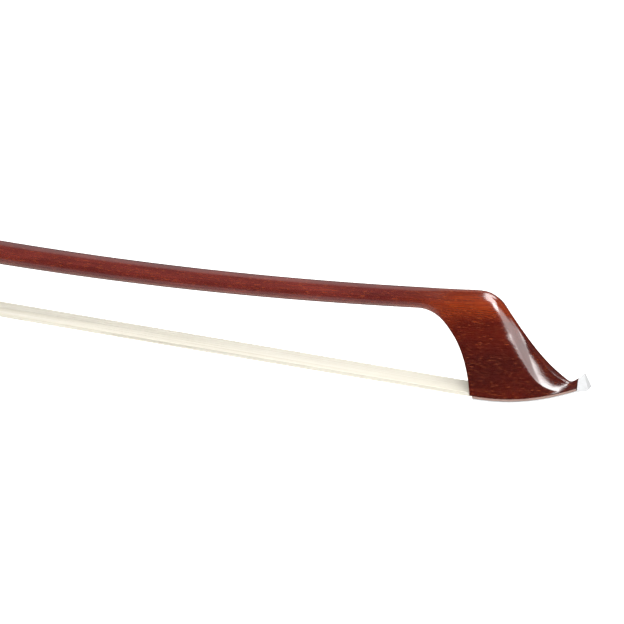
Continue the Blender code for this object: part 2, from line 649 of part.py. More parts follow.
def make_tip_filling(frame):
    """The knot and the plug that hold the hair in the head."""
    hair_front = TIP_MORTISE_WALL + GAP + HAIR_THICKNESS + GAP
    end = TIP_MORTISE_WALL + TIP_MORTISE_LENGTH - GAP
    half = HAIR_WIDTH_TIP / 2
    knot_half = half - KNOT_INSET
    centre = (hair_front + TIP_KNOT_RADIUS, TIP_MORTISE_DEPTH - GAP - TIP_KNOT_RADIUS)
    rod("hair_tip_knot", "Y", -knot_half, knot_half, TIP_KNOT_RADIUS, centre, frame, KNOT, 16)
    top = centre[1] - TIP_KNOT_RADIUS - GAP
    base = LAYER_GAP * 2
    outline = [(hair_front + HAIR_BEND / 2, base), (end, float(plate_arc(end)) + base), (end, top),
               (hair_front, top), (hair_front, HAIR_OUTER_Z_TIP + HAIR_BEND)]
    outline_solid("tip_plug", outline, -half, half, "XZ", frame, PLUG)


def d_outline(half, low, spring, height, count=16):
    """Flat-bottomed arch: straight sides up to the spring line, then half an ellipse."""
    turn = np.linspace(0, pi, count)
    arch = [(half * cos(a), spring + (height - spring) * sin(a)) for a in turn]
    return [(-half, low), (half, low)] + arch


def make_ferrule(frame):
    half = FERRULE_WIDTH / 2
    outer = d_outline(half, 0.0, FERRULE_SPRING, FERRULE_HEIGHT)
    inner = d_outline(half - FERRULE_WALL, FERRULE_WALL, FERRULE_SPRING, FERRULE_HEIGHT - FERRULE_WALL)
    ferrule = outline_solid("ferrule", outer, -FERRULE_LENGTH, 0.0, "YZ", frame, SILVER)
    cut(ferrule, outline_solid("cut_ferrule", inner, -FERRULE_LENGTH - OVERCUT, OVERCUT, "YZ", frame))
    half_wedge = HAIR_WIDTH_FROG / 2 + GAP
    low = HAIR_OUTER_Z_FROG + HAIR_THICKNESS + GAP
    box("spreader_wedge", (-WEDGE_LENGTH - WEDGE_INSET, -half_wedge, low),
        (-WEDGE_INSET, half_wedge, low + WEDGE_THICKNESS), frame, PLUG)


def frog_half(z):
    """Half width of the frog: a square foot, then sides that hollow in towards the stick."""
    share = np.clip((z - FROG_SIDE_HEIGHT) / (HANDLE_AXIS_Z - FROG_SIDE_HEIGHT), 0.0, 1.0)
    return FROG_TOP_WIDTH / 2 + (FROG_WIDTH - FROG_TOP_WIDTH) / 2 * (1 - share) ** FROG_HOLLOW_POWER


def frog_section():
    """Front view of the frog."""
    heights = [-OVERCUT, *np.linspace(FROG_SIDE_HEIGHT, HANDLE_AXIS_Z, 8)]
    side = [(float(frog_half(z)), z) for z in heights]
    return side + [(-y, z) for y, z in side[::-1]]


def octagon_outline(half, centre_z, first=0, count=8):
    """Corners of an octagon that stands on a flat, all of them or a run of them."""
    corner = half / cos(pi / 8)
    turn = (np.arange(first, first + count) + 0.5) * pi / 4
    return [(corner * cos(a), centre_z + corner * sin(a)) for a in turn]


def make_frog(frame):
    """Ebony body: side profile met by the front section, then its bed, ways and mortises are cut."""
    bed = GAP + UNDERSLIDE_THICKNESS + LAYER_GAP
    arch_turn = np.linspace(-THUMB_ARCH_TURN, THUMB_ARCH_TURN, 14)
    arch = [(-THUMB_ARCH_BACK - THUMB_ARCH_RADIUS * cos(a), THUMB_ARCH_Z + THUMB_ARCH_RADIUS * sin(a))
            for a in arch_turn]
    heel = -FROG_LENGTH + HEEL_PLATE_THICKNESS + LAYER_GAP
    ledge = FERRULE_LENGTH + GAP
    handle_floor = HANDLE_AXIS_Z - HANDLE_RADIUS
    top, foot = (-FROG_TOP_REAR, HANDLE_AXIS_Z), (heel, HEEL_PLATE_HEIGHT)
    back = bezier(top, FROG_BACK_PULLS[0], foot, FROG_BACK_PULLS[1], 8)
    profile = [(-ledge, 0.0), (-ledge, FERRULE_HEIGHT)] + arch
    profile += [(-FROG_TOP_FRONT, handle_floor - FROG_LEDGE), (-FROG_TOP_FRONT, HANDLE_AXIS_Z)]
    profile += [tuple(p) for p in back] + [(heel, 0.0)]
    body = outline_solid("frog_body", profile, -FROG_WIDTH, FROG_WIDTH, "XZ", frame, EBONY)
    cut(body, outline_solid("cut_frog_section", frog_section(), -FAR, 0.0, "YZ", frame), "INTERSECT")
    inset = FERRULE_WALL + GAP
    tongue = d_outline(FERRULE_WIDTH / 2 - inset, 0.0, FERRULE_SPRING, FERRULE_HEIGHT - inset)
    cut(body, outline_solid("join_tongue", tongue, -ledge - 2 * OVERCUT, -TONGUE_INSET, "YZ", frame), "UNION")
    bed_outline = octagon_outline(HANDLE_RADIUS + bed, HANDLE_AXIS_Z)
    cut(body, outline_solid("cut_bed", bed_outline, -FAR, 0.0, "YZ", frame))
    hair_top = HAIR_OUTER_Z_FROG + HAIR_THICKNESS + WEDGE_THICKNESS + 2 * GAP
    wide = FROG_WIDTH
    cut(body, box("cut_tongue_floor", (-ledge, -wide, -OVERCUT), (OVERCUT, wide, hair_top), frame))
    hair_half = HAIR_WIDTH_FROG / 2 + 2 * GAP
    way_top = SLIDE_DEPTH + 3 * GAP + HAIR_THICKNESS
    way_back = -FROG_MORTISE_BACK - OVERCUT
    cut(body, box("cut_hair_way", (way_back, -hair_half, GAP), (-ledge + OVERCUT, hair_half, way_top), frame))
    half = FROG_HAIR_HALF + BORE_GAP
    front_x, back_x = -FROG_MORTISE_BACK, -FROG_MORTISE_BACK - FROG_MORTISE_LENGTH
    cut(body, box("cut_frog_mortise", (back_x, -half, GAP), (front_x, half, FROG_MORTISE_TOP), frame))
    high, depth = SLIDE_WIDTH / 2 + GAP, SLIDE_DEPTH + GAP
    low = high - SLIDE_DOVETAIL
    dovetail = [(-low, -OVERCUT), (low, -OVERCUT), (low, 0.0), (high, depth), (-high, depth), (-low, 0.0)]
    cut(body, outline_solid("cut_slide_way", dovetail, -FAR, -ledge + OVERCUT, "YZ", frame))
    plate_floor = HEEL_PLATE_THICKNESS + LAYER_GAP
    plate_x = -FROG_LENGTH + HEEL_PLATE_LENGTH + LAYER_GAP
    cut(body, box("cut_heel_plate_seat", (-FAR, -wide, -OVERCUT), (plate_x, wide, plate_floor), frame))
    floor, hole = handle_floor - bed - EYELET_POST_DEPTH - GAP, EYELET_POST_RADIUS + GAP
    post = (-EYELET_BACK, 0)
    cut(body, rod("cut_eyelet_hole", "Z", floor, HANDLE_AXIS_Z, hole, post, frame, sides=16))
    for side, word in ((-1, "left"), (1, "right")):
        seat = rod("cut_eye_seat_" + word, "Y", side * (eye_wall() - EYE_DEPTH - GAP), side * FROG_WIDTH,
                   EYE_RADIUS + EYE_RING_WALL + GAP, (-EYE_BACK, EYE_Z), frame)
        cut(body, seat)


def eye_wall():
    """How far out the frog's side stands at the top of the eyes."""
    return float(frog_half(EYE_Z + EYE_RADIUS + EYE_RING_WALL))


def make_eyes(frame):
    wall = eye_wall()
    centre = (-EYE_BACK, EYE_Z)
    for side, word in ((-1, "left"), (1, "right")):
        low, high = sorted((side * (wall - EYE_DEPTH), side * wall))
        ring = rod("eye_ring_" + word, "Y", low, high, EYE_RADIUS + EYE_RING_WALL, centre, frame, SILVER)
        cut(ring, rod("cut_ring_" + word, "Y", low - OVERCUT, high + OVERCUT, EYE_RADIUS, centre, frame))
        rod("eye_pearl_" + word, "Y", low, high, EYE_RADIUS - LAYER_GAP, centre, frame, PEARL)


def make_slide(frame):
    """Pearl slide on its ebony base, dovetailed under the frog."""
    ledge = -FERRULE_LENGTH - GAP
    slide_end = -FROG_LENGTH + HEEL_PLATE_LENGTH + GAP
    narrow, wide = SLIDE_WIDTH / 2 - SLIDE_DOVETAIL, SLIDE_WIDTH / 2
    middle = (narrow + wide) / 2
    pearl = [(-narrow, 0.0), (narrow, 0.0), (middle, SLIDE_LAYER), (-middle, SLIDE_LAYER)]
    outline_solid("slide_pearl", pearl, slide_end, ledge, "YZ", frame, PEARL)
    low = SLIDE_LAYER + LAYER_GAP
    base = [(-middle, low), (middle, low), (wide, SLIDE_DEPTH), (-wide, SLIDE_DEPTH)]
    outline_solid("slide_base", base, slide_end, ledge, "YZ", frame, EBONY)


def make_heel_plate(frame):
    heel, t = -FROG_LENGTH, HEEL_PLATE_THICKNESS
    ell = [(heel, 0.0), (heel + HEEL_PLATE_LENGTH, 0.0), (heel + HEEL_PLATE_LENGTH, t), (heel + t, t),
           (heel + t, HEEL_PLATE_HEIGHT), (heel, HEEL_PLATE_HEIGHT)]
    plate = outline_solid("heel_plate", ell, -FROG_WIDTH, FROG_WIDTH, "XZ", frame, SILVER)
    cut(plate, outline_solid("cut_heel_section", frog_section(), -FAR, 0.0, "YZ", frame), "INTERSECT")


def make_underslide(frame):
    """Silver lining of the frog's bed, folded to the stick's three lower facets."""
    outer = octagon_outline(HANDLE_RADIUS + GAP + UNDERSLIDE_THICKNESS, HANDLE_AXIS_Z, 4, 4)
    inner = octagon_outline(HANDLE_RADIUS + GAP, HANDLE_AXIS_Z, 4, 4)
    rear = -FROG_TOP_REAR + UNDERSLIDE_INSET
    lining = outline_solid("underslide", outer + inner[::-1], rear, -FROG_TOP_FRONT, "YZ", frame, SILVER)
    trim = FROG_TOP_WIDTH / 2
    sides = box("cut_underslide_width", (-FAR, -trim, 0.0), (0.0, trim, HANDLE_AXIS_Z), frame)
    cut(lining, sides, "INTERSECT")
    hole, post = EYELET_POST_RADIUS + GAP, (-EYELET_BACK, 0)
    cut(lining, rod("cut_underslide_hole", "Z", 0.0, HANDLE_AXIS_Z, hole, post, frame, sides=16))


def make_frog_filling(frame):
    """The knot and the plug that hold the hair in the frog."""
    back_x = -FROG_MORTISE_BACK - FROG_MORTISE_LENGTH
    hair_x = -FROG_MORTISE_BACK - HAIR_THICKNESS - 2 * GAP
    knot_half = FROG_HAIR_HALF - KNOT_INSET
    centre = (hair_x - FROG_KNOT_RADIUS, FROG_MORTISE_TOP - GAP - FROG_KNOT_RADIUS)
    rod("hair_frog_knot", "Y", -knot_half, knot_half, FROG_KNOT_RADIUS, centre, frame, KNOT, 16)
    floor, top = SLIDE_DEPTH + 2 * GAP, centre[1] - FROG_KNOT_RADIUS - GAP
    box("frog_plug", (back_x + GAP, -FROG_HAIR_HALF, floor), (hair_x, FROG_HAIR_HALF, top), frame, PLUG)


def make_eyelet(frame):
    """Brass eyelet: a post in the frog and a block in the stick's slot, bored for the screw."""
    x, half = -EYELET_BACK, EYELET_LENGTH / 2
    post_foot = HANDLE_AXIS_Z - HANDLE_RADIUS - GAP - UNDERSLIDE_THICKNESS - LAYER_GAP - EYELET_POST_DEPTH
    low, high = HANDLE_AXIS_Z - EYELET_HEIGHT / 2, HANDLE_AXIS_Z + EYELET_HEIGHT / 2
    wide = EYELET_WIDTH / 2
    eyelet = box("eyelet", (x - half, -wide, low), (x + half, wide, high), frame, BRASS)
    post = rod("join_post", "Z", post_foot, low + OVERCUT / 2, EYELET_POST_RADIUS, (x, 0), frame, sides=16)
    cut(eyelet, post, "UNION")
    rear, front, bore = x - half - OVERCUT, x + half + OVERCUT, SCREW_RADIUS + BORE_GAP / 2
    cut(eyelet, rod("cut_eyelet_bore", "X", rear, front, bore, (0, HANDLE_AXIS_Z), frame, sides=16))


def button_ring(name, start, end, bore, axis, material, share=1.0):
    """An octagonal ring or barrel round the screw's axis, bored through."""
    outline = octagon_outline(BUTTON_WIDTH / 2 * share, 0.0)
    ring = outline_solid(name, outline, start, end, "YZ", axis, material)
    if bore:
        cut(ring, rod("cut_" + name, "X", start - OVERCUT, end + OVERCUT, bore, (0, 0), axis, sides=24))
    return ring


def make_adjuster(axis):
    """Screw and button, drawn on the screw's axis with the stick's end at x = 0."""
    rear, front = -BUTTON_LENGTH - GAP, -GAP
    collar_front = front + NIPPLE_LENGTH
    barrel_front = collar_front - COLLAR_LENGTH - LAYER_GAP
    barrel_rear = rear + COLLAR_LENGTH + LAYER_GAP
    shank = max(-SCREW_IN_BUTTON, barrel_rear + GAP)
    rod("adjuster_screw", "X", shank, SCREW_REACH, SCREW_RADIUS, (0, 0), axis, STEEL, 16)
    collar_rear, nipple = collar_front - COLLAR_LENGTH, NIPPLE_RADIUS + GAP
    button_ring("button_front_collar", collar_rear, collar_front, nipple, axis, SILVER)
    bore = SCREW_RADIUS + LAYER_GAP
    button_ring("button_barrel", barrel_rear, barrel_front, bore, axis, EBONY, BARREL_SHARE)
    cap = button_ring("button_rear_collar", rear, rear + COLLAR_LENGTH, 0.0, axis, SILVER)
    eye_seat = BUTTON_EYE_RADIUS + LAYER_GAP
    cut(cap, rod("cut_button_eye", "X", rear - OVERCUT, rear + BUTTON_EYE_DEPTH, eye_seat, (0, 0), axis))
    rod("button_eye", "X", rear, rear + BUTTON_EYE_DEPTH - LAYER_GAP, BUTTON_EYE_RADIUS, (0, 0), axis, PEARL)


def make_leather(frame):
    """Thumb leather: a tube round the stick just ahead of the frog."""
    rear = -HAIR_LENGTH - LEATHER_BACK
    stations = np.linspace(rear, rear + LEATHER_LENGTH, 6)
    turn = (np.arange(SIDES) + 0.5) * 2 * pi / SIDES

    def tube(name, radius, past=0.0, material=None):
        rings = []
        for x, shift in zip(stations, (-past, 0, 0, 0, 0, past)):
            y, z = radius * np.cos(turn), axis_height(x) + radius * np.sin(turn)
            rings.append(np.column_stack([np.full(SIDES, x + shift), y, z]))
        return loft(name, np.array(rings), frame, material)

    inside = HANDLE_RADIUS + GAP
    leather = tube("thumb_leather", inside + LEATHER_THICKNESS, material=LEATHER)
    cut(leather, tube("cut_leather", inside, OVERCUT))


def make_lapping(frame):
    """Lapping ahead of the leather: one unbroken strand wound round the tapering stick."""
    start = -HAIR_LENGTH - LEATHER_BACK + LEATHER_LENGTH + GAP + LAPPING_THICKNESS / 2
    turn = np.linspace(0, LAPPING_TURNS * 2 * pi, LAPPING_TURNS * LOOP_POINTS + 1)
    x = start + LAPPING_PITCH * turn / (2 * pi)
    reach = stick_radius(x) + GAP + LAPPING_THICKNESS / 2
    points = np.column_stack([x, reach * np.cos(turn), axis_height(x) + reach * np.sin(turn)])
    apart = np.linalg.norm(points[LOOP_POINTS:] - points[:-LOOP_POINTS], axis=1)
    print("grip lapping: least gap to itself %.2f mm" % ((apart.min() - LAPPING_THICKNESS) * 1000))
    curve = bpy.data.curves.new("grip_lapping", "CURVE")
    curve.dimensions = "3D"
    curve.bevel_depth = LAPPING_THICKNESS / 2
    curve.bevel_resolution = 1
    curve.use_fill_caps = True
    spline = curve.splines.new("POLY")
    spline.points.add(len(points) - 1)
    for point, place in zip(spline.points, points):
        point.co = (*map(float, place), 1.0)
    mesh = mesh_from_curve("grip_lapping", curve)
    bm = bmesh.new()
    bm.from_mesh(mesh)
    bmesh.ops.remove_doubles(bm, verts=bm.verts, dist=1e-7)
    face_outwards(bm)
    bm.to_mesh(mesh)
    bm.free()
    finish_part(bpy.data.objects.new("grip_lapping", mesh), frame, THREAD, 60.0)


def empty(name, place):
    marker = bpy.data.objects.new(name, None)
    marker.location = place
    collection.objects.link(marker)
    return marker


clear_scene()
collection = bpy.data.collections.new("double_bass_bow")
cutters = bpy.data.collections.new("cutters")
bpy.context.scene.collection.children.link(collection)
bpy.context.scene.collection.children.link(cutters)
head_frame = empty("head_frame", (CORNER_X, 0, 0))
frog_frame = empty("frog_frame", (FROG_X, 0, 0))
screw_axis = empty("screw_axis", (BUTT_X, 0, HANDLE_AXIS_Z))
make_stick(head_frame)
make_tip(head_frame)
make_hair(head_frame)
make_tip_filling(head_frame)
make_leather(head_frame)
make_lapping(head_frame)
make_ferrule(frog_frame)
make_frog(frog_frame)
make_eyes(frog_frame)
make_slide(frog_frame)
make_heel_plate(frog_frame)
make_underslide(frog_frame)
make_frog_filling(frog_frame)
make_eyelet(frog_frame)
make_adjuster(screw_axis)
print("corner %.5f frog %.5f butt %.5f overall %.4f" % (CORNER_X, FROG_X, BUTT_X, OVERALL))
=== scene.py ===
import json
from math import cos, pi, radians, sin

import bmesh
import bpy
import numpy as np
from mathutils import Matrix, Vector


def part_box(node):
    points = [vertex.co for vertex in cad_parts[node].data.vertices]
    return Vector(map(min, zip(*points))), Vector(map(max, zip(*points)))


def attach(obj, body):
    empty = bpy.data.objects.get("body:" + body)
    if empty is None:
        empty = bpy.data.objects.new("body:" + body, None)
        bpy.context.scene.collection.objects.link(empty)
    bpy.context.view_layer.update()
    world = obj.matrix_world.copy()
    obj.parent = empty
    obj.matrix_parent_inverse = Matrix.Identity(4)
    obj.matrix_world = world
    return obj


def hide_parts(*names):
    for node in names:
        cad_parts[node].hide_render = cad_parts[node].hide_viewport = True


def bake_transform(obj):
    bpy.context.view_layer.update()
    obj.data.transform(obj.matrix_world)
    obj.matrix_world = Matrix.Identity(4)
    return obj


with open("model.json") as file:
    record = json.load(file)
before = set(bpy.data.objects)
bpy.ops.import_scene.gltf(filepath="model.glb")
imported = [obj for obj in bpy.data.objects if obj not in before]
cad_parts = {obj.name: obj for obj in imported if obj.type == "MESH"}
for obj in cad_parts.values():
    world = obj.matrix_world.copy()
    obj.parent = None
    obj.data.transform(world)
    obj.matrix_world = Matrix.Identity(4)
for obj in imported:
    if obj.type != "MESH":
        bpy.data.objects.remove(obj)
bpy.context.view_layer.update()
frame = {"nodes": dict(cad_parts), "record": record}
nodes = frame["nodes"]
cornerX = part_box("tip_plate")[0].x  # rear corner of the tip plate, where the head's sizes start
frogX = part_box("ferrule")[1].x  # front of the ferrule, where the frog's sizes start
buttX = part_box("stick")[0].x
clearance = 0.0003  # between neighbours, as in the solids
overCut = 0.001  # how far a cutter runs past what it cuts


def hexColour(code):
    # sRGB hex to linear light
    values = [int(code[i:i + 2], 16) / 255 for i in (0, 2, 4)]
    return tuple(v / 12.92 if v <= 0.04045 else ((v + 0.055) / 1.055) ** 2.4 for v in values) + (1.0,)


def addNode(material, kind, links=None, **settings):
    # one shader node with its properties or input values, and links {input: output of another node}
    node = material.node_tree.nodes.new(kind)
    for name, value in settings.items():
        if hasattr(node, name):
            setattr(node, name, value)
        else:
            node.inputs[name.replace("_", " ")].default_value = value
    for socket, output in (links or {}).items():
        material.node_tree.links.new(output, node.inputs[socket])
    return node


def startMaterial(name, **settings):
    # a material whose surface shader has these input values
    material = bpy.data.materials.new(name)
    material.use_nodes = True
    shader = material.node_tree.nodes["Principled BSDF"]
    for key, value in settings.items():
        shader.inputs[key.replace("_", " ")].default_value = value
    return material, shader


def grainNoise(material, lengthMm, widthMm, detail=3.0, rough=0.55, shift=0.0, place=None):
    # noise whose features are lengthMm long along the bow and widthMm wide across it
    place = place or addNode(material, "ShaderNodeTexCoord").outputs["Object"]
    along, across = 1000 / lengthMm, 1000 / widthMm
    mapped = addNode(material, "ShaderNodeMapping", {"Vector": place}, Scale=(along, across, across),
                     Location=(shift, shift, shift))
    noise = addNode(material, "ShaderNodeTexNoise", {"Vector": mapped.outputs[0]}, Scale=1.0, Detail=detail,
                    Roughness=rough)
    return noise.outputs["Fac"]


def rampColour(material, factor, *stops):
    # a colour that runs through hex stops, given as (position, hex)
    ramp = addNode(material, "ShaderNodeValToRGB", {"Fac": factor})
    elements = ramp.color_ramp.elements
    for i, (place, code) in enumerate(stops):
        element = elements[i] if i < 2 else elements.new(place)
        element.position = place
        element.color = hexColour(code)
    return ramp.outputs["Color"]


def mixColours(material, factor, first, second, mode="MIX"):
    # factor, first and second are outputs, a number for the factor or a hex for a colour
    node = addNode(material, "ShaderNodeMix", data_type="RGBA", blend_type=mode)
    for socket, value in (("Factor", factor), ("A", first), ("B", second)):
        if isinstance(value, str):
            node.inputs[socket].default_value = hexColour(value)
        elif isinstance(value, float):
            node.inputs[socket].default_value = value
        else:
            material.node_tree.links.new(value, node.inputs[socket])
    return node.outputs["Result"]


def useBump(material, shader, height, strength, distanceMm, normal="Normal"):
    # marks of a real depth under the shader's normal, or under its coat's
    bump = addNode(material, "ShaderNodeBump", {"Height": height}, Strength=strength,
                   Distance=distanceMm / 1000)
    material.node_tree.links.new(bump.outputs["Normal"], shader.inputs[normal])


# lengths and widths of each pattern and the pores' depth in mm, places in the head and the heights of
# its painted light in metres; the finest marks are as coarse as the picture needs to show them, and the
# shifts keep the patterns apart
woodLook = {
    "figureLength": 26.0, "figureWidth": 7.0, "figureShare": 0.45, "fibreLength": 16.0, "fibreWidth": 0.35,
    "fleckLength": 1.9, "fleckWidth": 0.32, "fleckFrom": 0.55, "fleckTo": 0.75, "fleckShare": 0.26,
    "fleckBump": 0.04, "fleckDepth": 0.04, "poreLength": 1.2, "poreWidth": 0.3, "poreDepth": 0.035,
    "fibreShift": 3.1, "fleckShift": 7.7, "poreShift": 5.3,
    # where the stick's colour turns into the head's, then the heights where the head's painted shade ends
    # and its painted light begins, and how far that painted light shifts its colour
    "headStart": -0.034, "headEnd": -0.008, "darkHeight": -0.016, "lightHeight": -0.003, "lift": 0.13,
}


def polishedBowWood():
    # dense red bow wood under a clear polish: deep colour, fine golden flecks along the grain, redder in the
    # stick than in the head; the head's colour is painted lighter towards its top and darker towards its
    # foot, as painted light from above
    look = woodLook
    material, shader = startMaterial("polishedBowWood", Roughness=0.5, Specular_IOR_Level=0.0,
                                     Coat_Weight=1.0, Coat_Roughness=0.17, Coat_IOR=2.1)
    place = addNode(material, "ShaderNodeAttribute", attribute_name="grain").outputs["Vector"]
    figure = grainNoise(material, look["figureLength"], look["figureWidth"], 2.0, place=place)
    fibres = grainNoise(material, look["fibreLength"], look["fibreWidth"], 3.0, 0.6, look["fibreShift"],
                        place)
    flecks = grainNoise(material, look["fleckLength"], look["fleckWidth"], 2.0, 0.5, look["fleckShift"],
                        place)
    apart = addNode(material, "ShaderNodeSeparateXYZ", {"Vector": place})
    inHead = addNode(material, "ShaderNodeMapRange", {"Value": apart.outputs["X"]},
                     From_Min=look["headStart"], From_Max=look["headEnd"]).outputs["Result"]
    # painted light: the head's colour is lifted towards its top and sunk towards its foot, as if lit from
    # above
    paintedTopLight = addNode(material, "ShaderNodeMapRange", {"Value": apart.outputs["Z"]},
                     From_Min=look["darkHeight"], From_Max=look["lightHeight"], To_Min=-look["lift"],
                     To_Max=look["lift"]).outputs["Result"]
    calm = addNode(material, "ShaderNodeMapRange", {"Value": figure}, To_Min=0.5 - look["figureShare"] / 2,
                   To_Max=0.5 + look["figureShare"] / 2).outputs["Result"]
    figureWithPaintedLight = addNode(material, "ShaderNodeMath", {0: calm, 1: paintedTopLight}, operation="ADD").outputs[0]
    # the head's own colour with the painted light from above in it
    headGroundWithPaintedLight = rampColour(material, figureWithPaintedLight, (0.3, "390a06"), (0.5, "4a0d03"), (0.72, "782806"))
    stickGround = rampColour(material, figure, (0.3, "4e1513"), (0.7, "65231c"))
    ground = mixColours(material, inHead, stickGround, headGroundWithPaintedLight)
    shade = rampColour(material, fibres, (0.35, "d8cccc"), (0.6, "ffffff"))
    fleck = addNode(material, "ShaderNodeMapRange", {"Value": flecks}, From_Min=look["fleckFrom"],
                    From_Max=look["fleckTo"], To_Max=look["fleckShare"]).outputs["Result"]
    colour = mixColours(material, fleck, mixColours(material, 1.0, ground, shade, "MULTIPLY"), "a45422")
    material.node_tree.links.new(colour, shader.inputs["Base Color"])
    useBump(material, shader, flecks, look["fleckBump"], look["fleckDepth"])
    pores = grainNoise(material, look["poreLength"], look["poreWidth"], 2.0, 0.5, look["poreShift"], place)
    useBump(material, shader, pores, 1.0, look["poreDepth"], "Coat Normal")  # the polish follows the pores
    return material


def mottled(name, stops, lengthMm, widthMm, bumpStrength, bumpMm, detail=4.0, **settings):
    # a material whose colour wanders between hex stops over noise of a real size
    material, shader = startMaterial(name, **settings)
    noise = grainNoise(material, lengthMm, widthMm, detail)
    material.node_tree.links.new(rampColour(material, noise, *stops), shader.inputs["Base Color"])
    useBump(material, shader, noise, bumpStrength, bumpMm)
    return material


finishes = {
    "stick_wood": polishedBowWood(),
    # vulcanised fibre: tan pink, matt, in fine layers
    "liner_fibre": mottled("vulcanisedFibre", [(0.3, "765c52"), (0.7, "8a7269")], 1.2, 0.4, 0.2, 0.05,
                           Roughness=0.7),
    # silver rubbed to a satin: nearly white, with the rubbing along its length
    "silver": mottled("satinSilver", [(0.3, "bcbdbe"), (0.7, "c9cacb")], 2.5, 0.15, 0.04, 0.02,
                      Roughness=0.42, Metallic=0.3),
    # silvered thread: bright with slightly dull hollows
    "lapping_silver": mottled("silverThread", [(0.3, "d4d4d2"), (0.7, "f0f0ee")], 0.4, 0.4, 0.1, 0.02,
                              Roughness=0.35, Metallic=0.7),
    # willow: pale and open
    "plug_wood": mottled("plugWillow", [(0.3, "b8955f"), (0.7, "d2b383")], 7.0, 0.5, 0.1, 0.05,
                         Roughness=0.65),
    # bleached horse hair: cream, long streaks, a soft sheen
    "hair": mottled("bowHair", [(0.3, "b8b2a3"), (0.5, "c3bfb3"), (0.75, "ccc9c2")], 90.0, 0.3, 0.0, 0.05,
                    Roughness=0.5, Specular_IOR_Level=0.2),
    # thumb leather: dark brown, fine grain
    "leather": mottled("thumbLeather", [(0.3, "1c120d"), (0.7, "33211a")], 0.7, 0.7, 0.6, 0.12,
                       Roughness=0.6),
    # ebony: black-brown with faint straight grain under a hand polish
    "ebony": mottled("polishedEbony", [(0.35, "0b0908"), (0.75, "201815")], 9.0, 0.5, 0.05, 0.03,
                     Roughness=0.25),
    # mother-of-pearl: pale with pink and green clouds
    "pearl": mottled("motherOfPearl", [(0.3, "c3d4cf"), (0.5, "e9dfe2"), (0.7, "d3e3e6")], 3.0, 1.6, 0.02,
                     0.05, Roughness=0.15, Coat_Weight=1.0),
    # turned brass: yellow, faintly mottled
    "brass": mottled("turnedBrass", [(0.3, "b98d3c"), (0.7, "d3aa58")], 1.0, 0.3, 0.05, 0.02, Roughness=0.3,
                     Metallic=1.0),
    # screw steel, lightly oiled: grey, with faint marks round it
    "steel": mottled("screwSteel", [(0.3, "8c8d90"), (0.7, "a7a8ab")], 0.4, 1.2, 0.05, 0.02, Roughness=0.35,
                     Metallic=1.0),
}
slotOf = {part["node"]: part["material_slot"] for part in frame["record"]["subparts"]}
bodyOf = {node: body for body, names in frame["record"]["behaviour"]["bodies"].items() for node in names}
for node, slot in slotOf.items():
    nodes[node].data.materials.clear()
    nodes[node].data.materials.append(finishes[slot])
print("finishes on", len(slotOf), "nodes")


def tubeMesh(name, sections, joined=False):
    # sections holds tube, ring, point and xyz; each ring is joined to the next, and the end rings are
    # closed by one face each, or joined to each other
    count, rings, around = sections.shape[:3]
    index = np.arange(count * rings * around).reshape(count, rings, around)
    following = np.roll(index, -1, axis=1) if joined else index[:, 1:]
    here = index if joined else index[:, :-1]
    quads = np.stack([here, following, np.roll(following, -1, axis=2), np.roll(here, -1, axis=2)], axis=-1)
    loops, starts = quads.reshape(-1), np.arange(quads.size // 4) * 4
    if not joined:
        caps = np.concatenate([index[:, 0], index[:, -1, ::-1]])
        starts = np.concatenate([starts, loops.size + np.arange(2 * count) * around])
        loops = np.concatenate([loops, caps.reshape(-1)])
    corners = sections.reshape(-1, 3)
    a, b, c, d = (corners[quads.reshape(-1, 4)[:, i]] for i in range(4))
    inside = sections.reshape(-1, 3).mean(axis=0)
    volume = (np.cross(a - inside, b - inside) * (c - inside)).sum() + \
             (np.cross(a - inside, c - inside) * (d - inside)).sum()
    mesh = bpy.data.meshes.new(name)
    mesh.vertices.add(len(corners))
    mesh.vertices.foreach_set("co", corners.astype(np.float32).reshape(-1))
    mesh.loops.add(loops.size)
    mesh.loops.foreach_set("vertex_index", loops.astype(np.int32))
    mesh.polygons.add(starts.size)
    mesh.polygons.foreach_set("loop_start", starts.astype(np.int32))
    mesh.update(calc_edges=True)
    if volume < 0:  # the rings ran the other way round
        mesh.flip_normals()
    return mesh


def addPiece(name, mesh, node, *moreNodes, sharp=32.0):
    # a piece made for a CAD node, which takes its slot and finish, and stands for it
    piece = bpy.data.objects.new(name, mesh)
    bpy.context.scene.collection.objects.link(piece)
    mesh.materials.clear()
    mesh.materials.append(finishes[slotOf[node]])
    mesh.shade_smooth()
    mesh.set_sharp_from_angle(angle=radians(sharp))
    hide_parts(node, *moreNodes)
    return piece


def rodMesh(name, start, end, radius, centre, sides=48):
    # a round rod along X, as two rings on the centre's y and z
    turn = np.arange(sides) * 2 * pi / sides
    y, z = centre[0] + radius * np.cos(turn), centre[1] + radius * np.sin(turn)
    ring = np.column_stack([np.zeros(sides), y, z])
    return tubeMesh(name, np.stack([ring + (start, 0, 0), ring + (end, 0, 0)])[None])


def boxMesh(name, low, high):
    # a block between two corners, as a tube of two square rings
    y, z = (low[1], high[1], high[1], low[1]), (low[2], low[2], high[2], high[2])
    rings = [np.column_stack([np.full(4, x), y, z]) for x in (low[0], high[0])]
    return tubeMesh(name, np.array(rings)[None])


def cutAway(mesh, cutters):
    # the mesh with each cutter's shape taken out, as a new mesh
    work = bpy.data.objects.new("work", mesh)
    bpy.context.scene.collection.objects.link(work)
    tools = []
    for cutter in cutters:
        tool = bpy.data.objects.new("tool", cutter)
        bpy.context.scene.collection.objects.link(tool)
        change = work.modifiers.new("cut", "BOOLEAN")
        change.operation, change.object, change.solver = "DIFFERENCE", tool, "EXACT"
        tools.append(tool)
    done = bpy.data.meshes.new_from_object(work.evaluated_get(bpy.context.evaluated_depsgraph_get()))
    for item in [work, *tools]:
        bpy.data.objects.remove(item)
    return done


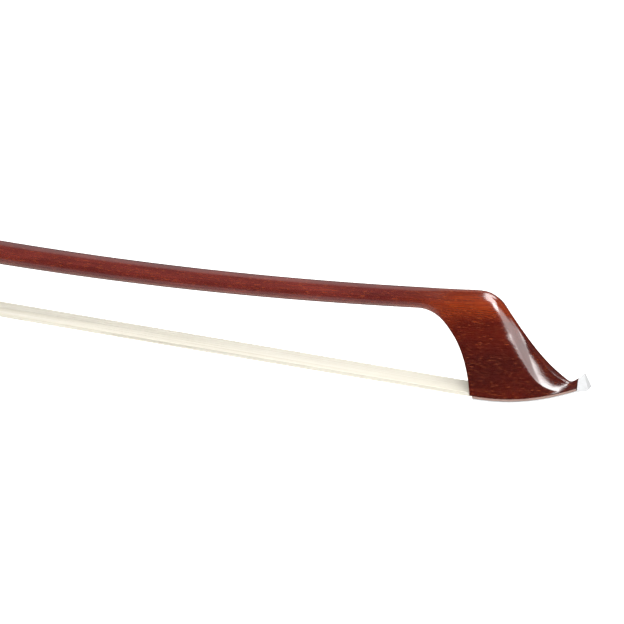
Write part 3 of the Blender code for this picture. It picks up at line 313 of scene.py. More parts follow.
def bezier(start, startPull, end, endPull, count=120):
    # cubic from start to end, each pull measured from its own end
    start, end = np.array(start, float), np.array(end, float)
    one, two = start + startPull, end + endPull
    t = np.linspace(0, 1, count)[:, None]
    return (1 - t) ** 3 * start + 3 * (1 - t) ** 2 * t * one + 3 * (1 - t) * t ** 2 * two + t ** 3 * end


def blendStep(value):
    # 0 to 1, slow at both ends
    value = np.clip(value, 0.0, 1.0)
    return value * value * (3 - 2 * value)


def smoothRun(way, places, values):
    # a value that eases from one of the given values to the next between their places
    run = np.full_like(way, values[0])
    for start, end, before, after in zip(places, places[1:], values, values[1:]):
        run += (after - before) * blendStep((way - start) / (end - start))
    return run


# stick and head, in the head's own frame: x from the plate's rear corner, z from the floor
stickForm = {
    # the octagonal handle, the camber and the taper
    "handleAxisZ": 0.0296, "handleRadius": 0.0060, "octagonEnd": -0.576, "roundStart": -0.5715,
    "levelEnd": -0.534, "lowX": -0.175, "lowZ": 0.02355, "headAxisX": -0.012, "headAxisZ": 0.0320,
    "tipRadius": 0.00355, "slopeStep": 0.001,
    # the head's widths and the plate's outline
    "headWidth": 0.0120, "headTopWidth": 0.0071, "lipWidth": 0.0038, "bed": 0.00135, "overhang": 0.0010,
    "plateArc": 0.089, "plateStraight": 0.25, "plateCurve": 1.7,
    # throat, then the ridge's crown, shoulder, hollow and lip, each with the pull of its curve
    "throatStart": -0.022, "throatReach": 0.0123, "throatDrop": 0.0149, "throatLean": 0.0018,
    "crownX": -0.008, "crownReach": 0.0104, "shoulder": (0.01035, 0.0306), "shoulderPull": (0.0059, -0.0076),
    "facePull": (0.0081, -0.0104), "hollow": (0.0314, 0.0100), "hollowPull": (-0.0076, 0.0041),
    "lip": (0.0348, 0.0115), "lipPull": 0.0010, "lipCornerDrop": 0.0013,
    # the bevel's points from the shoulder and the hollow, with its pulls as shares of its sweep
    "bevelRise": 0.0011, "bevelTop": (-0.00535, 0.0036), "bevelTopPull": (0.0040, -0.0010),
    "bevelMiddle": (0.00185, -0.0084), "bevelFoot": (-0.0024, 0.0003), "sweepIn": (0.21, 0.39),
    "sweepOut": (0.42, 0.78), "covePull": 0.37, "risePull": 1.6, "cornerPull": 1.4, "jointPart": 6,
    # how edges round and surfaces hollow from the throat (0) to the bed's start (1) and the lip (2)
    "places": (0.0, 0.8, 1.1, 1.3, 1.5, 2.0),
    "cheekSide": (0.0020, 0.0050, 0.0020, 0.0010, 0.0005, 0.00012),
    "chamferSide": (0.0020, 0.0050, 0.0022, 0.0012, 0.0006, 0.0003),
    "scoops": (0.0, 0.0, 0.6, 0.85, 0.5, 0.35), "scoopShape": (0.35, 0.12, 0.9),
    "ridgePlaces": (0.0, 0.7, 1.0), "ridgeRounds": (0.0011, 0.0018, 0.0003), "ridgeFall": 0.42,
    "cheekRounds": (0.0012, 0.0003), "cheekShare": 0.46, "chamferShare": 0.8, "roundEnd": 0.42,
    "crisp": 0.00012, "crispRun": 14,
    # steps along and around
    "railSteps": 120, "topSteps": 30, "tipSteps": 40, "stations": (170, 72, 56),
    "steps": (8, 8, 14, 12, 18, 8),
}


def plateArc(x):
    # underside of the tip plate: level, then an arc up to the beak
    x = np.maximum(x, 0.0)
    return stickForm["plateArc"] - np.sqrt(stickForm["plateArc"] ** 2 - x ** 2)


def plateHalf(x):
    # half the plate's width: straight sides that close in a curve towards the beak
    lip, straight = stickForm["lip"][0], stickForm["plateStraight"]
    share = np.clip((x / lip - straight) / (1 - straight), 0, 1)
    narrow, wide = stickForm["lipWidth"] / 2, stickForm["headWidth"] / 2
    return narrow + (wide - narrow) * (1 - share ** stickForm["plateCurve"])


def cheekHalf(x, z):
    # the plate's width at the bed, leaning in towards the top
    f = stickForm
    lean = (f["headWidth"] - f["headTopWidth"]) / 2 / (f["headAxisZ"] - f["bed"])
    return plateHalf(x) - lean * (z - f["bed"])


def axisHeight(x):
    # level handle, a gentle fall to the camber's lowest point, then a parabola up to the head
    f = stickForm
    rising = ((x - f["lowX"]) / (f["headAxisX"] - f["lowX"])) ** 2
    falling = blendStep((x - f["levelEnd"]) / (f["lowX"] - f["levelEnd"]))
    head = f["lowZ"] + (f["headAxisZ"] - f["lowZ"]) * rising
    handle = f["handleAxisZ"] + (f["lowZ"] - f["handleAxisZ"]) * falling
    return np.where(x > f["lowX"], head, handle)


def axisSlope(x):
    # rise of the stick's axis per length, by a central difference
    step = stickForm["slopeStep"]
    return float(axisHeight(x + step) - axisHeight(x - step)) / (2 * step)


def stickRadius(x):
    # straight taper from the round end of the handle to the throat
    f = stickForm
    share = np.clip((x - f["roundStart"]) / (f["throatStart"] - f["roundStart"]), 0.0, 1.0)
    return f["handleRadius"] + (f["tipRadius"] - f["handleRadius"]) * share


def stickRings(turn):
    # the octagonal handle, then circles on the cambered axis
    f = stickForm
    circle = np.column_stack([-np.cos(turn), np.sin(turn)])
    octagon = circle / np.cos((turn + pi / 8) % (pi / 4) - pi / 8)[:, None]
    roundPart = np.linspace(f["roundStart"], f["throatStart"], f["stations"][0])[:-1]
    x = np.concatenate([[buttX - cornerX, f["octagonEnd"]], roundPart])
    share = np.clip((x - f["octagonEnd"]) / (f["roundStart"] - f["octagonEnd"]), 0, 1)[:, None, None]
    half = (octagon + (circle - octagon) * share) * stickRadius(x)[:, None, None]
    rings = np.empty((len(x), len(turn), 3))
    rings[..., 0] = x[:, None]
    rings[..., 1] = half[..., 1]
    rings[..., 2] = axisHeight(x)[:, None] + half[..., 0]
    return rings


def headRails():
    # three lines in side view, each with the x where the stations go from the throat to the face:
    # throat and bed, bevel, and ridge with crown, hollow and lip
    f = stickForm
    start, slope = f["throatStart"], axisSlope(f["throatStart"])
    foot = np.array((-f["overhang"], f["bed"]))
    shoulder, hollow, lip = (np.array(f[name]) for name in ("shoulder", "hollow", "lip"))
    pull = f["lipPull"]

    under = (start, float(axisHeight(start)) - f["tipRadius"])
    throatPull = (f["throatReach"], f["throatReach"] * slope)
    throat = bezier(under, throatPull, foot, (-f["throatLean"], f["throatDrop"]))
    bedX = np.linspace(foot[0], lip[0], f["railSteps"])
    lower = np.vstack([throat[:-1], np.column_stack([bedX, plateArc(bedX) + f["bed"]])])

    topX = np.linspace(start, f["crownX"], f["topSteps"])
    top = np.column_stack([topX, axisHeight(topX) + f["tipRadius"]])
    crownPull = (f["crownReach"], f["crownReach"] * axisSlope(f["crownX"]))
    intoHollow = np.array(f["hollowPull"])
    crown = bezier(top[-1], crownPull, shoulder, -np.array(f["shoulderPull"]))
    face = bezier(shoulder, f["facePull"], hollow, intoHollow)
    tip = bezier(hollow, -intoHollow * pull / abs(intoHollow[0]), lip, (-pull, -pull), f["tipSteps"])
    ridge = np.vstack([top[:-1], crown[:-1], face[:-1], tip])

    bevelStart = (start, float(axisHeight(start)) + f["bevelRise"])
    bevelTop, middle = shoulder + f["bevelTop"], shoulder + f["bevelMiddle"]
    coveX = hollow[0] + f["bevelFoot"][0]
    coveFoot = np.array((coveX, float(plateArc(coveX)) + f["bed"] + f["bevelFoot"][1]))
    corner = lip - (0.0, f["lipCornerDrop"])
    reach = (bevelTop[0] - start) / 2
    sweep = coveFoot - middle
    side = bezier(bevelStart, (reach, reach * slope), bevelTop, -np.array(f["bevelTopPull"]))
    edge = bezier(bevelTop, f["bevelTopPull"], middle, -sweep * f["sweepIn"])
    cove = bezier(middle, sweep * f["sweepOut"], coveFoot, (-sweep[0] * f["covePull"], 0.0))
    cornerPull = (-pull * f["cornerPull"], -pull * f["cornerPull"])
    rise = bezier(coveFoot, (pull * f["risePull"], 0.0), corner, cornerPull, f["tipSteps"])
    bevel = np.vstack([side[:-1], edge[:-1], cove[:-1], rise])
    bevelJoint = shoulder[0] + (middle[0] - bevelTop[0]) / f["jointPart"]
    ridgeJoint = shoulder[0] + f["facePull"][0] / 2
    return (lower, foot[0]), (bevel, bevelJoint), (ridge, ridgeJoint)


def spaced(path, jointX, before, after):
    # points at even steps along a path, with one where it passes jointX
    length = np.concatenate([[0.0], np.cumsum(np.hypot(*np.diff(path, axis=0).T))])
    joint = np.interp(jointX, path[:, 0], length)
    at = np.concatenate([np.linspace(0, joint, before + 1), np.linspace(joint, length[-1], after + 1)[1:]])
    return np.interp(at, length, path[:, 0]), np.interp(at, length, path[:, 1])


def straightRun(start, end, count):
    # even steps from start up to end, without the end
    t = np.arange(count)[None, :, None] / count
    return start[:, None] + (end - start)[:, None] * t


def bentRun(start, middle, end, count):
    # the same along a quadratic that is pulled to the middle
    t = np.arange(count)[None, :, None] / count
    return (1 - t) ** 2 * start[:, None] + 2 * t * (1 - t) * middle[:, None] + t ** 2 * end[:, None]


def towards(start, end, length):
    # the point that lies length from start on the way to end
    gap = end - start
    return start + gap * (length / np.maximum(np.linalg.norm(gap, axis=1), 1e-9))[:, None]


def headRings(turn):
    # half sections between the three rails: rear or lower face, cheek, and a soft chamfer up to a
    # rounded ridge; they start as the stick's circle, and their edges grow crisp towards the plate
    f = stickForm
    before, after = f["stations"][1:]
    (lowX, lowZ), (midX, midZ), (highX, highZ) = (spaced(*rail, before, after) for rail in headRails())
    i = np.arange(before + after + 1)
    onThroat, onBed = np.minimum(1.0, i / before), np.maximum(0.0, (i - before) / after)
    zero = np.zeros(len(i))
    lowHalf = np.where(onBed > 0, plateHalf(lowX), cheekHalf(lowX, lowZ))
    bevelHalf = cheekHalf(midX, midZ)
    bevelHalf = np.where(onBed > 0, np.minimum(bevelHalf, lowHalf), bevelHalf)
    centre, edge = np.column_stack([lowX, zero, lowZ]), np.column_stack([lowX, lowHalf, lowZ])
    bevel, ridge = np.column_stack([midX, bevelHalf, midZ]), np.column_stack([highX, zero, highZ])
    up = towards(centre, ridge, 1.0) - centre
    ridgeRound = np.interp(onBed, f["ridgePlaces"], f["ridgeRounds"])
    crest = ridge - up * (ridgeRound * f["ridgeFall"])[:, None]
    crest[:, 1] += ridgeRound
    crestPull = ridge.copy()
    crestPull[:, 1] += ridgeRound * f["ridgeFall"]

    topRound, footRound = f["cheekRounds"]
    edgeRound = topRound + (footRound - topRound) * blendStep(onThroat)
    edgeRound += (f["crisp"] - edgeRound) * np.minimum(1.0, onBed * f["crispRun"])
    way = onThroat + onBed
    cheekSide, chamferSide, scoop = (smoothRun(way, f["places"], f[name])
                                     for name in ("cheekSide", "chamferSide", "scoops"))
    room, chamfer = np.linalg.norm(bevel - edge, axis=1), np.linalg.norm(crest - bevel, axis=1)
    edgeRound = np.minimum(edgeRound, room * f["cheekShare"])
    beforeBevel = towards(bevel, edge, np.minimum(cheekSide, room * f["cheekShare"]))
    pastBevel = towards(bevel, crest, np.minimum(chamferSide, chamfer * f["chamferShare"]))
    middle, shape = (pastBevel + crest) / 2, np.array(f["scoopShape"])
    inwards = middle + (pastBevel * shape + crest * (1 - shape) - middle) * scoop[:, None]
    beforeEdge, pastEdge = towards(edge, centre, edgeRound), towards(edge, bevel, edgeRound)
    s = f["steps"]
    half = np.concatenate([
        straightRun(centre, beforeEdge, s[0]), bentRun(beforeEdge, edge, pastEdge, s[1]),
        straightRun(pastEdge, beforeBevel, s[2]), bentRun(beforeBevel, bevel, pastBevel, s[3]),
        bentRun(pastBevel, inwards, crest, s[4]), bentRun(crest, crestPull, ridge, s[5]),
        ridge[:, None]], axis=1)
    level, rise = ((ridge + centre) / 2)[:, None], ((ridge - centre) / 2)[:, None]
    roundHalf = level - rise * np.cos(turn)[None, :, None]
    roundHalf[..., 1] = f["tipRadius"] * np.sin(turn)
    return roundHalf + (half - roundHalf) * blendStep(onThroat / f["roundEnd"])[:, None, None]


stickCuts = {
    "mortiseBack": 0.0025, "mortiseFront": 0.0125, "mortiseHalf": 0.0048, "mortiseTop": 0.0080,
    "wayTop": 0.0023, "screwBore": 0.0020, "screwDepth": 0.0445, "slotHalf": 0.0026, "slotTop": 0.0334,
    "slotBack": 0.0505, "slotFront": 0.0350, "nipple": 0.0036, "nippleLength": 0.0022,
}


def makeStick():
    # half rings mirrored into whole ones, then the mortise, the hair's way, the screw's bore, the
    # eyelet's slot and the step that the button turns on are cut
    turn = np.linspace(0, pi, sum(stickForm["steps"]) + 1)
    halves = np.concatenate([stickRings(turn), headRings(turn)])
    rings = np.concatenate([halves * (1, -1, 1), halves[:, -2:0:-1]], axis=1) + (cornerX, 0, 0)
    c, axis = stickCuts, (0.0, stickForm["handleAxisZ"])
    below, floor = -2 * overCut, axis[1] - 2 * stickForm["handleRadius"]
    half, back = c["mortiseHalf"], cornerX + c["mortiseBack"]
    slotFrom, slotTo = frogX - c["slotBack"], frogX - c["slotFront"]
    cutters = [
        boxMesh("mortise", (back, -half, below), (cornerX + c["mortiseFront"], half, c["mortiseTop"])),
        boxMesh("hairWay", (cornerX - 4 * overCut, -half, below), (back + overCut, half, c["wayTop"])),
        rodMesh("screwHole", buttX - overCut, buttX + c["screwDepth"], c["screwBore"], axis),
        boxMesh("slot", (slotFrom, -c["slotHalf"], floor), (slotTo, c["slotHalf"], c["slotTop"])),
    ]
    stepX = buttX + c["nippleLength"]
    sleeve = rodMesh("sleeve", buttX - overCut, stepX, 2 * stickForm["handleRadius"], axis)
    core = rodMesh("core", buttX - 2 * overCut, stepX + overCut, c["nipple"], axis)
    cutters.append(cutAway(sleeve, [core]))
    mesh = cutAway(tubeMesh("bowStick", rings[None]), cutters)
    addGrain(mesh)
    return addPiece("bowStick", mesh, "stick", sharp=25.0)


def addGrain(mesh):
    # where each point lies in the blank before bending: the grain follows the camber, then runs straight
    # through the head
    places = np.empty(len(mesh.vertices) * 3, np.float32)
    mesh.vertices.foreach_get("co", places)
    places = places.reshape(-1, 3) - (cornerX, 0, 0)
    start = stickForm["throatStart"]
    beyond = np.maximum(places[:, 0] - start, 0.0)
    places[:, 2] -= axisHeight(np.minimum(places[:, 0], start)) + beyond * axisSlope(start)
    grain = mesh.attributes.new("grain", "FLOAT_VECTOR", "POINT")
    grain.data.foreach_set("vector", places.astype(np.float32).reshape(-1))


stickPiece = makeStick()
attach(stickPiece, "stick")
print("stick", len(stickPiece.data.polygons), "faces")


# hair: strands that run side by side from the knot in the head to the knot in the frog
hairForm = {
    "across": 40, "layers": 5, "strand": 0.00034, "wander": 0.00030, "thickness": 0.0015, "wall": 0.0028,
    "tipZ": 0.0005, "frogZ": 0.0010, "levelX": 0.0110, "riseLength": 0.0040, "riseZ": 0.0031,
    "frogKnotX": 0.0208, "tipWidth": 0.0090, "spreadWidth": 0.0110, "frogWidth": 0.0130,
    "narrowWidth": 0.0102, "spreadX": 0.007, "tipTop": 0.0077, "frogTop": 0.0109, "tipKnot": 0.0013,
    "frogKnot": 0.0016, "knotInset": 0.0006, "fan": 0.25, "bendReach": 0.0009, "bendSteps": 5,
    "longSteps": 9, "stagger": 0.5, "fewestWaves": 1.2, "moreWaves": 2.2, "rise": 0.25, "seed": 5,
}


def hairRoutes():
    # side view of each layer: out of the head's knot, round the mortise's edge, along the band, up
    # through the frog to its knot; corners are rounded by quadratic curves
    h = hairForm
    depth = np.linspace(h["strand"] / 2, h["thickness"] - h["strand"] / 2, h["layers"])
    tipX, upZ = cornerX + h["wall"] + h["thickness"] - depth, h["tipTop"] - h["tipKnot"]
    knotX = cornerX + h["wall"] + h["thickness"] + clearance + h["tipKnot"]
    backX, backZ = frogX - h["frogKnotX"] - h["thickness"] + depth, h["frogTop"] - h["frogKnot"]
    frogKnotX = frogX - h["frogKnotX"] - h["thickness"] - clearance - h["frogKnot"]
    one = np.ones(h["layers"])
    levelX = frogX - h["levelX"]
    corners = np.stack([np.column_stack([one * x, one * z]) for x, z in (
        (knotX, upZ), (tipX, upZ + depth * h["fan"]), (tipX, h["tipZ"] + depth),
        (levelX, h["frogZ"] + depth), (levelX - h["riseLength"], h["riseZ"] + depth),
        (backX, h["riseZ"] + depth), (backX, backZ + depth * h["fan"]), (frogKnotX, backZ))], axis=1)
    unit = np.diff(corners, axis=1)
    unit /= np.linalg.norm(unit, axis=2, keepdims=True)
    reach = h["bendReach"]
    t = np.linspace(0, 1, h["bendSteps"])[None, :, None]
    rows = [corners[:, :1]]
    for i in range(1, corners.shape[1] - 1):
        corner = corners[:, i]
        before, after = corner - unit[:, i - 1] * reach, corner + unit[:, i] * reach
        bend = (1 - t) ** 2 * before[:, None] + 2 * t * (1 - t) * corner[:, None] + t ** 2 * after[:, None]
        rows.append(bend)
        if i == 2:  # the long free stretch, where the strands wander
            far = corners[:, 3] - unit[:, 2] * reach
            share = np.linspace(0, 1, h["longSteps"] + 2)[None, 1:-1, None]
            share[:, 0] = h["spreadX"] / (tipX[0] - frogX)
            rows.append(after[:, None] + (far - after)[:, None] * share)
    rows.append(corners[:, -1:])
    return np.concatenate(rows, axis=1)


def makeHair():
    # each strand keeps its lane across the band and its layer's route, and wanders as a sine in its free
    # stretch; its section is a square that stands on a corner
    h = hairForm
    routes = hairRoutes()
    random = np.random.default_rng(h["seed"])
    strands = h["across"] * h["layers"]
    route = np.repeat(routes, h["across"], axis=0)
    shift = np.tile(np.arange(h["layers"])[:, None] % 2 * h["stagger"], (1, h["across"])).reshape(-1)
    lane = (np.tile(np.arange(h["across"]), h["layers"]) + shift + h["stagger"] / 2) / h["across"] * 2 - 1
    x = route[..., 0]
    level = frogX - h["levelX"]
    places = [frogX - h["frogKnotX"], level - h["riseLength"], level, frogX, cornerX - h["spreadX"], cornerX]
    names = ("narrowWidth", "narrowWidth", "frogWidth", "frogWidth", "spreadWidth", "tipWidth")
    widths = [h[name] for name in names]
    half = np.interp(x, places, widths) / 2 - h["strand"] / 2
    half[:, [0, -1]] -= h["knotInset"]
    share = np.clip((cornerX - x) / (cornerX - frogX), 0, 1)
    phase = random.random((2, strands, 1)) * 2 * pi
    waves = h["fewestWaves"] + h["moreWaves"] * random.random((2, strands, 1))
    free = np.sin(share * pi)
    y = lane[:, None] * half + h["wander"] * free * np.sin(waves[0] * share * 2 * pi + phase[0])
    z = route[..., 1] + h["wander"] * h["rise"] * free * np.sin(waves[1] * share * 2 * pi + phase[1])
    y = np.clip(y, -half, half)
    centre = np.stack([x, y, z], axis=-1)
    ahead = np.gradient(centre, axis=1)
    ahead /= np.linalg.norm(ahead, axis=2, keepdims=True)
    side = np.array((0.0, 1.0, 0.0)) - ahead * ahead[..., 1:2]
    side /= np.linalg.norm(side, axis=2, keepdims=True)
    over = np.cross(ahead, side)
    turn = np.arange(4) * pi / 2
    ring = side[:, :, None] * np.cos(turn)[:, None] + over[:, :, None] * np.sin(turn)[:, None]
    mesh = tubeMesh("bowHair", centre[:, :, None] + ring * h["strand"] / 2)
    return addPiece("bowHair", mesh, "hair_ribbon", sharp=180)


hairPiece = makeHair()
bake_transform(hairPiece)
print("hair", len(hairPiece.data.polygons), "faces")


# knots: the tied ends of the hair, bound round with thread
knotForm = {"threadTurns": 11, "ridge": 0.10, "endClose": 0.35, "endPower": 8, "rings": 160, "sides": 24}


def makeKnot(name, node):
    # a rod along Y whose surface rises and falls with the thread's turns and closes in at both ends
    low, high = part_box(node)
    middle, radius, half = (low + high) / 2, (high.z - low.z) / 2, (high.y - low.y) / 2
    s = np.linspace(-1, 1, knotForm["rings"])
    turn = np.arange(knotForm["sides"]) * 2 * pi / knotForm["sides"]
    wave = np.cos(pi * knotForm["threadTurns"] * (s[:, None] - turn[None] / (knotForm["threadTurns"] * pi)))
    closing = 1 - knotForm["endClose"] * np.abs(s[:, None]) ** knotForm["endPower"]
    reach = radius * (1 - knotForm["ridge"] * (1 - wave) / 2) * closing
    rings = np.stack([middle.x + reach * np.cos(turn), middle.y + np.repeat(s[:, None] * half, len(turn), 1),
                      middle.z + reach * np.sin(turn)], axis=-1)
    knot = addPiece(name, tubeMesh(name, rings[None]), node)
    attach(knot, bodyOf[node])


makeKnot("tipKnot", "hair_tip_knot")
makeKnot("frogKnot", "hair_frog_knot")


# thumb leather: one strip wrapped round the stick, its edge pared and lapped underneath
leatherForm = {"inside": 0.0063, "thickness": 0.0011, "seamTurn": 4.45, "lap": 0.00025, "lapWidth": 0.5,
               "pareLength": 0.0022, "paredEdge": 0.35, "rings": 90, "sides": 96, "crease": 0.00006,
               "creaseRate": 2200, "creaseBend": 2, "creaseLobes": 3, "fadeLobes": 2, "fadeRate": 260}


def makeLeather():
    # a closed sleeve on the stick's axis: its outside falls at both ends and over the seam, and fine
    # creases run round it that fade in and out
    f = leatherForm
    low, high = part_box("thumb_leather")
    x = np.linspace(low.x, high.x, f["rings"])
    turn = np.arange(f["sides"]) * 2 * pi / f["sides"]
    toEnd = np.minimum(x - low.x, high.x - x)
    pared = f["paredEdge"] + (1 - f["paredEdge"]) * blendStep(toEnd / f["pareLength"])
    fromSeam = (turn - f["seamTurn"]) % (2 * pi)
    thinned = 1 - f["lap"] / f["thickness"] * (1 - blendStep((fromSeam - f["lapWidth"]) / f["lapWidth"]))
    creases = np.sin(x[:, None] * f["creaseRate"] + f["creaseBend"] * np.sin(turn * f["creaseLobes"]))
    worn = f["crease"] * creases * np.sin(turn * f["fadeLobes"] + x[:, None] * f["fadeRate"])
    outer = f["inside"] + (f["thickness"] * thinned[None] + worn - f["crease"]) * pared[:, None]
    inner = np.full_like(outer, f["inside"])
    reach = np.concatenate([outer, inner[::-1]])
    x = np.concatenate([x, x[::-1]])
    rings = np.stack([np.repeat(x[:, None], len(turn), 1), reach * np.cos(turn),
                      axisHeight(x - cornerX)[:, None] + reach * np.sin(turn)], axis=-1)
    mesh = tubeMesh("thumbLeather", rings[None], joined=True)
    piece = addPiece("thumbLeather", mesh, "thumb_leather", sharp=40)
    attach(piece, bodyOf["thumb_leather"])


makeLeather()


# lapping: a three-ply silvered cord wound round the stick, with a fine thread in its gaps
lappingForm = {"turns": 16, "pitch": 0.0028, "cord": 0.0019, "thread": 0.0008, "gap": 0.0001, "plies": 3,
               "plyTwists": 9, "plyDepth": 0.13, "cordSteps": 150, "cordSides": 14, "threadSteps": 48,
               "threadSides": 8}


def woundCord(start, startTurn, turns, diameter, steps, sides, plies=0):
    # a helix on the tapering stick; the section's radius swells at each ply, and the plies twist along it
    f = lappingForm
    turn = startTurn + np.linspace(0, turns * 2 * pi, int(turns * steps) + 1)
    x = start + f["pitch"] * turn / (2 * pi)
    reach = stickRadius(x) + f["gap"] + diameter / 2
    out = np.stack([np.zeros_like(turn), np.cos(turn), np.sin(turn)], axis=-1)
    centre = np.column_stack([x + cornerX, reach * np.cos(turn), axisHeight(x) + reach * np.sin(turn)])
    ahead = np.gradient(centre, axis=0)
    ahead /= np.linalg.norm(ahead, axis=1, keepdims=True)
    side = np.cross(ahead, out)
    side /= np.linalg.norm(side, axis=1, keepdims=True)
    angle = np.arange(sides) * 2 * pi / sides
    lobes = 1.0
    if plies:
        twisted = plies / 2 * (angle[None] - f["plyTwists"] * turn[:, None])
        lobes = 1 - f["plyDepth"] * (1 - np.abs(np.cos(twisted)))
    radius = np.broadcast_to(diameter / 2 * lobes, (len(turn), sides))[..., None]
    ring = out[:, None] * np.cos(angle)[None, :, None] + side[:, None] * np.sin(angle)[None, :, None]
    return centre[:, None] + ring * radius


def makeLapping():
    # the cord, and the fine thread half a turn further round, in the cord's gaps
    f = lappingForm
    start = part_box("thumb_leather")[1].x - cornerX + clearance + f["cord"] / 2
    cord = woundCord(start, 0.0, f["turns"], f["cord"], f["cordSteps"], f["cordSides"], f["plies"])
    piece = addPiece("gripLapping", tubeMesh("gripLapping", cord[None]), "grip_lapping", sharp=60)
    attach(piece, bodyOf["grip_lapping"])
    thread = woundCord(start, pi, f["turns"] - 1, f["thread"], f["threadSteps"], f["threadSides"])
    fine = addPiece("lappingThread", tubeMesh("lappingThread", thread[None]), "grip_lapping", sharp=60)
    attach(fine, bodyOf["grip_lapping"])


makeLapping()
print("hair ends, leather and lapping made")


# screw: a turned thread of the coupling's pitch
screwForm = {"pitch": 0.0009, "depth": 0.00025, "perTurn": 8, "sides": 24, "plainEnd": 0.0006}


def makeScrew():
    # the radius falls and rises once along each pitch, shifted round by the turn, with tapered ends
    f = screwForm
    low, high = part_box("adjuster_screw")
    middle, radius = (low + high) / 2, (high.z - low.z) / 2
    x = np.linspace(low.x, high.x, int((high.x - low.x) / f["pitch"] * f["perTurn"]))
    turn = np.arange(f["sides"]) * 2 * pi / f["sides"]
    wave = np.abs(((x[:, None] / f["pitch"] - turn[None] / (2 * pi)) % 1) * 2 - 1)
    toEnd = blendStep(np.minimum(x - low.x, high.x - x) / f["plainEnd"])[:, None]
    reach = radius - f["depth"] * (1 - wave * toEnd)
    rings = np.stack([np.repeat(x[:, None], len(turn), 1), middle.y + reach * np.cos(turn),
                      middle.z + reach * np.sin(turn)], axis=-1)
    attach(addPiece("adjusterScrew", tubeMesh("adjusterScrew", rings[None]), "adjuster_screw"), "adjuster")


makeScrew()


# hard parts whose CAD shape is right: merged copies, with their edges eased as files and polish leave
# them, by these widths in mm
easedEdges = {
    "tip_plate": 0.10, "tip_liner": 0.08, "ferrule": 0.12, "frog_body": 0.25, "heel_plate": 0.15,
    "underslide": 0.08, "button_front_collar": 0.20, "button_rear_collar": 0.25, "button_barrel": 0.25,
    "button_eye": 0.12, "eye_ring_left": 0.12, "eye_ring_right": 0.12, "eye_pearl_left": 0.10,
    "eye_pearl_right": 0.10, "eyelet": 0.15, "slide_pearl": 0.08, "slide_base": 0.08, "spreader_wedge": 0.10,
    "frog_plug": 0.10, "tip_plug": 0.10,
}
easing = {"mergeWithin": 1e-6, "flatWithin": 0.4, "edgeFrom": 32.0, "segments": 2}


def easeEdges(node, widthMm):
    # a copy of the node's mesh, its doubles merged and its flat faces made whole, then bevelled
    mesh = nodes[node].data.copy()
    form = bmesh.new()
    form.from_mesh(mesh)
    bmesh.ops.remove_doubles(form, verts=form.verts, dist=easing["mergeWithin"])
    flat = radians(easing["flatWithin"])
    bmesh.ops.dissolve_limit(form, angle_limit=flat, verts=form.verts, edges=form.edges)
    form.to_mesh(mesh)
    form.free()
    words = node.split("_")
    name = words[0] + "".join(word.capitalize() for word in words[1:])
    mesh.name = name
    piece = addPiece(name, mesh, node)
    ease = piece.modifiers.new("ease", "BEVEL")
    ease.width, ease.segments = widthMm / 1000, easing["segments"]
    ease.limit_method, ease.angle_limit = "ANGLE", radians(easing["edgeFrom"])
    piece.modifiers.new("keepFacesFlat", "WEIGHTED_NORMAL").keep_sharp = True
    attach(piece, bodyOf[node])


for node, width in easedEdges.items():
    easeEdges(node, width)
print("eased", len(easedEdges), "hard parts")


# the photograph's frame, and where the plate's near rear corner stands in it
view = {"azimuth": 25.0, "elevation": 20.0, "focalPixels": 2300.0, "framePixels": 624.0,
        "cornerPixel": (471.8, 399.8), "pixelsPerMetre": 3000.0, "sensor": 36.0,
        "clipStart": 0.01}
studioForm = {
    "floorZ": -0.25, "floorSize": 14.0, "paper": "fbfbfa", "floorGlow": 0.55, "floorMirrored": 0.3,
    "card": "050505", "cardX": -0.4, "cardAway": 0.3, "cardSize": (1.9, 0.32), "cardZ": 0.06,
    "air": 0.5, "glossAir": 0.06, "seenAir": 1.0, "aim": (0.015, 0.0, 0.02),
}
# each light's place from the head, the way its long side runs, its size and its power
softboxes = {
    "topSoftbox": ((0.20, -0.42, 1.14), (1.0, 0.0, 0.0), (0.95, 1.3), 22.0),
    "sideSoftbox": ((0.96, -0.67, 0.43), (0.7, 1.0, 0.0), (1.1, 0.68), 4.6),
    "frontSoftbox": ((0.36, -1.11, 0.69), (1.0, 0.3, 0.0), (0.62, 0.65), 10.5),
    "backSoftbox": ((-0.4, 1.1, 1.5), (1.0, 0.0, 0.0), (2.4, 2.0), 6.5),
}


def placeCamera():
    # back from the plate's near corner along the view, then aside until that corner falls on its pixel
    corner = Vector((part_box("tip_plate")[0].x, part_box("tip_plate")[0].y, 0.0))
    a, e = radians(view["azimuth"]), radians(view["elevation"])
    right = Vector((cos(a), sin(a), 0))
    up = Vector((-sin(a) * sin(e), cos(a) * sin(e), cos(e)))
    back = Vector((sin(a) * cos(e), -cos(a) * cos(e), sin(e)))
    depth = view["focalPixels"] / view["pixelsPerMetre"]
    across = (view["cornerPixel"][0] - view["framePixels"] / 2) / view["focalPixels"] * depth
    above = -(view["cornerPixel"][1] - view["framePixels"] / 2) / view["focalPixels"] * depth
    camera = bpy.data.objects.new("camera", bpy.data.cameras.new("camera"))
    camera.data.sensor_width = view["sensor"]
    camera.data.lens = view["focalPixels"] / view["framePixels"] * view["sensor"]
    camera.data.clip_start = view["clipStart"]
    camera.location = corner - right * across - up * above + back * depth
    camera.rotation_euler = (pi / 2 - e, 0, a)
    bpy.context.scene.collection.objects.link(camera)
    bpy.context.scene.camera = camera


def addSoftbox(name, place, along, target, size, power):
    # an area light that faces the target, with its long side along the given way
    lamp = bpy.data.lights.new(name, "AREA")
    lamp.shape = "RECTANGLE"
    lamp.size, lamp.size_y = size
    lamp.energy = power
    light = bpy.data.objects.new(name, lamp)
    light.location = place
    back = (Vector(place) - Vector(target)).normalized()
    up = back.cross(Vector(along)).normalized()
    light.rotation_euler = Matrix((up.cross(back), up, back)).transposed().to_euler()
    bpy.context.scene.collection.objects.link(light)


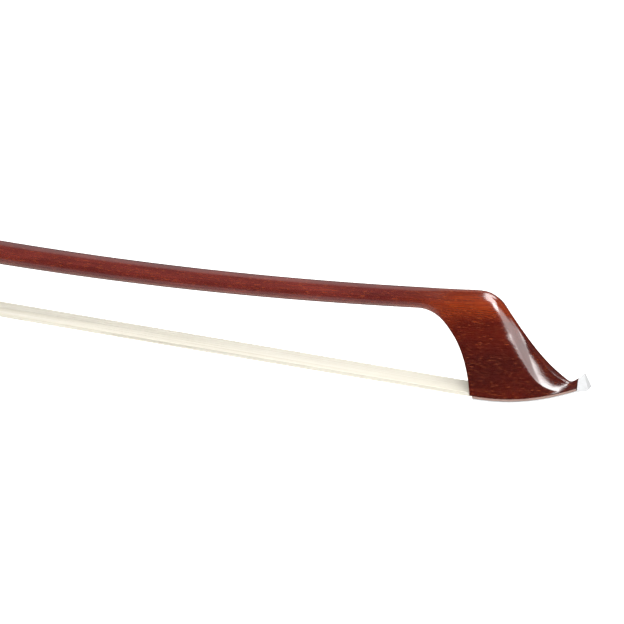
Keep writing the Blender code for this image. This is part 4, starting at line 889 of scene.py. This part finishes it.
def addSheet(name, corners, code, glow):
    # a flat sheet of the studio, which isn't part of the bow
    mesh = bpy.data.meshes.new(name)
    mesh.from_pydata(corners, [], [(0, 1, 2, 3)])
    colour = hexColour(code)
    mesh.materials.append(startMaterial(name, Roughness=0.9, Specular_IOR_Level=0.0, Base_Color=colour,
                                        Emission_Color=colour, Emission_Strength=glow)[0])
    sheet = bpy.data.objects.new(name, mesh)
    bpy.context.scene.collection.objects.link(sheet)
    return sheet


def makeStudio():
    s = studioForm
    half, z = s["floorSize"] / 2, s["floorZ"]
    # pale paper, lit a little from below as on a light table
    floor = [(-half, -half, z), (half, -half, z), (half, half, z), (-half, half, z)]
    paper = addSheet("palePaper", floor, s["paper"], s["floorGlow"]).data.materials[0]
    # polish mirrors it dimmer than it is
    mirrored = addNode(paper, "ShaderNodeLightPath").outputs["Is Glossy Ray"]
    dim = addNode(paper, "ShaderNodeEmission", Strength=s["floorMirrored"]).outputs[0]
    lit = paper.node_tree.nodes["Principled BSDF"].outputs[0]
    both = addNode(paper, "ShaderNodeMixShader", {0: mirrored, 1: lit, 2: dim})
    paper.node_tree.links.new(both.outputs[0], paper.node_tree.nodes["Material Output"].inputs["Surface"])
    # a black card in front, which only the polish sees
    wide, high = s["cardSize"][0] / 2, s["cardSize"][1]
    x, y, top = cornerX + s["cardX"], -s["cardAway"], s["cardZ"]
    upright = [(x - wide, y, top - high), (x - wide, y, top), (x + wide, y, top), (x + wide, y, top - high)]
    card = addSheet("blackCard", upright, s["card"], 0.0)
    card.visible_camera = card.visible_diffuse = card.visible_shadow = False
    # the room: white where it is seen, dimmer as light, dimmest in reflections
    world = bpy.data.worlds.new("studioAir")
    world.use_nodes = True
    path = addNode(world, "ShaderNodeLightPath")
    lit = addNode(world, "ShaderNodeMix", {"Factor": path.outputs["Is Glossy Ray"]}, A=s["air"],
                  B=s["glossAir"])
    seen = addNode(world, "ShaderNodeMix", {"Factor": path.outputs["Is Camera Ray"],
                                            "A": lit.outputs["Result"]}, B=s["seenAir"])
    background = world.node_tree.nodes["Background"]
    background.inputs["Color"].default_value = (1, 1, 1, 1)
    world.node_tree.links.new(seen.outputs["Result"], background.inputs["Strength"])
    bpy.context.scene.world = world
    head = np.array(s["aim"]) + (cornerX, 0, 0)
    for name, (place, along, size, power) in softboxes.items():
        addSoftbox(name, head + place, along, head, size, power)
    bpy.context.scene.view_settings.view_transform = "Standard"


placeCamera()
makeStudio()
print("camera and studio set")
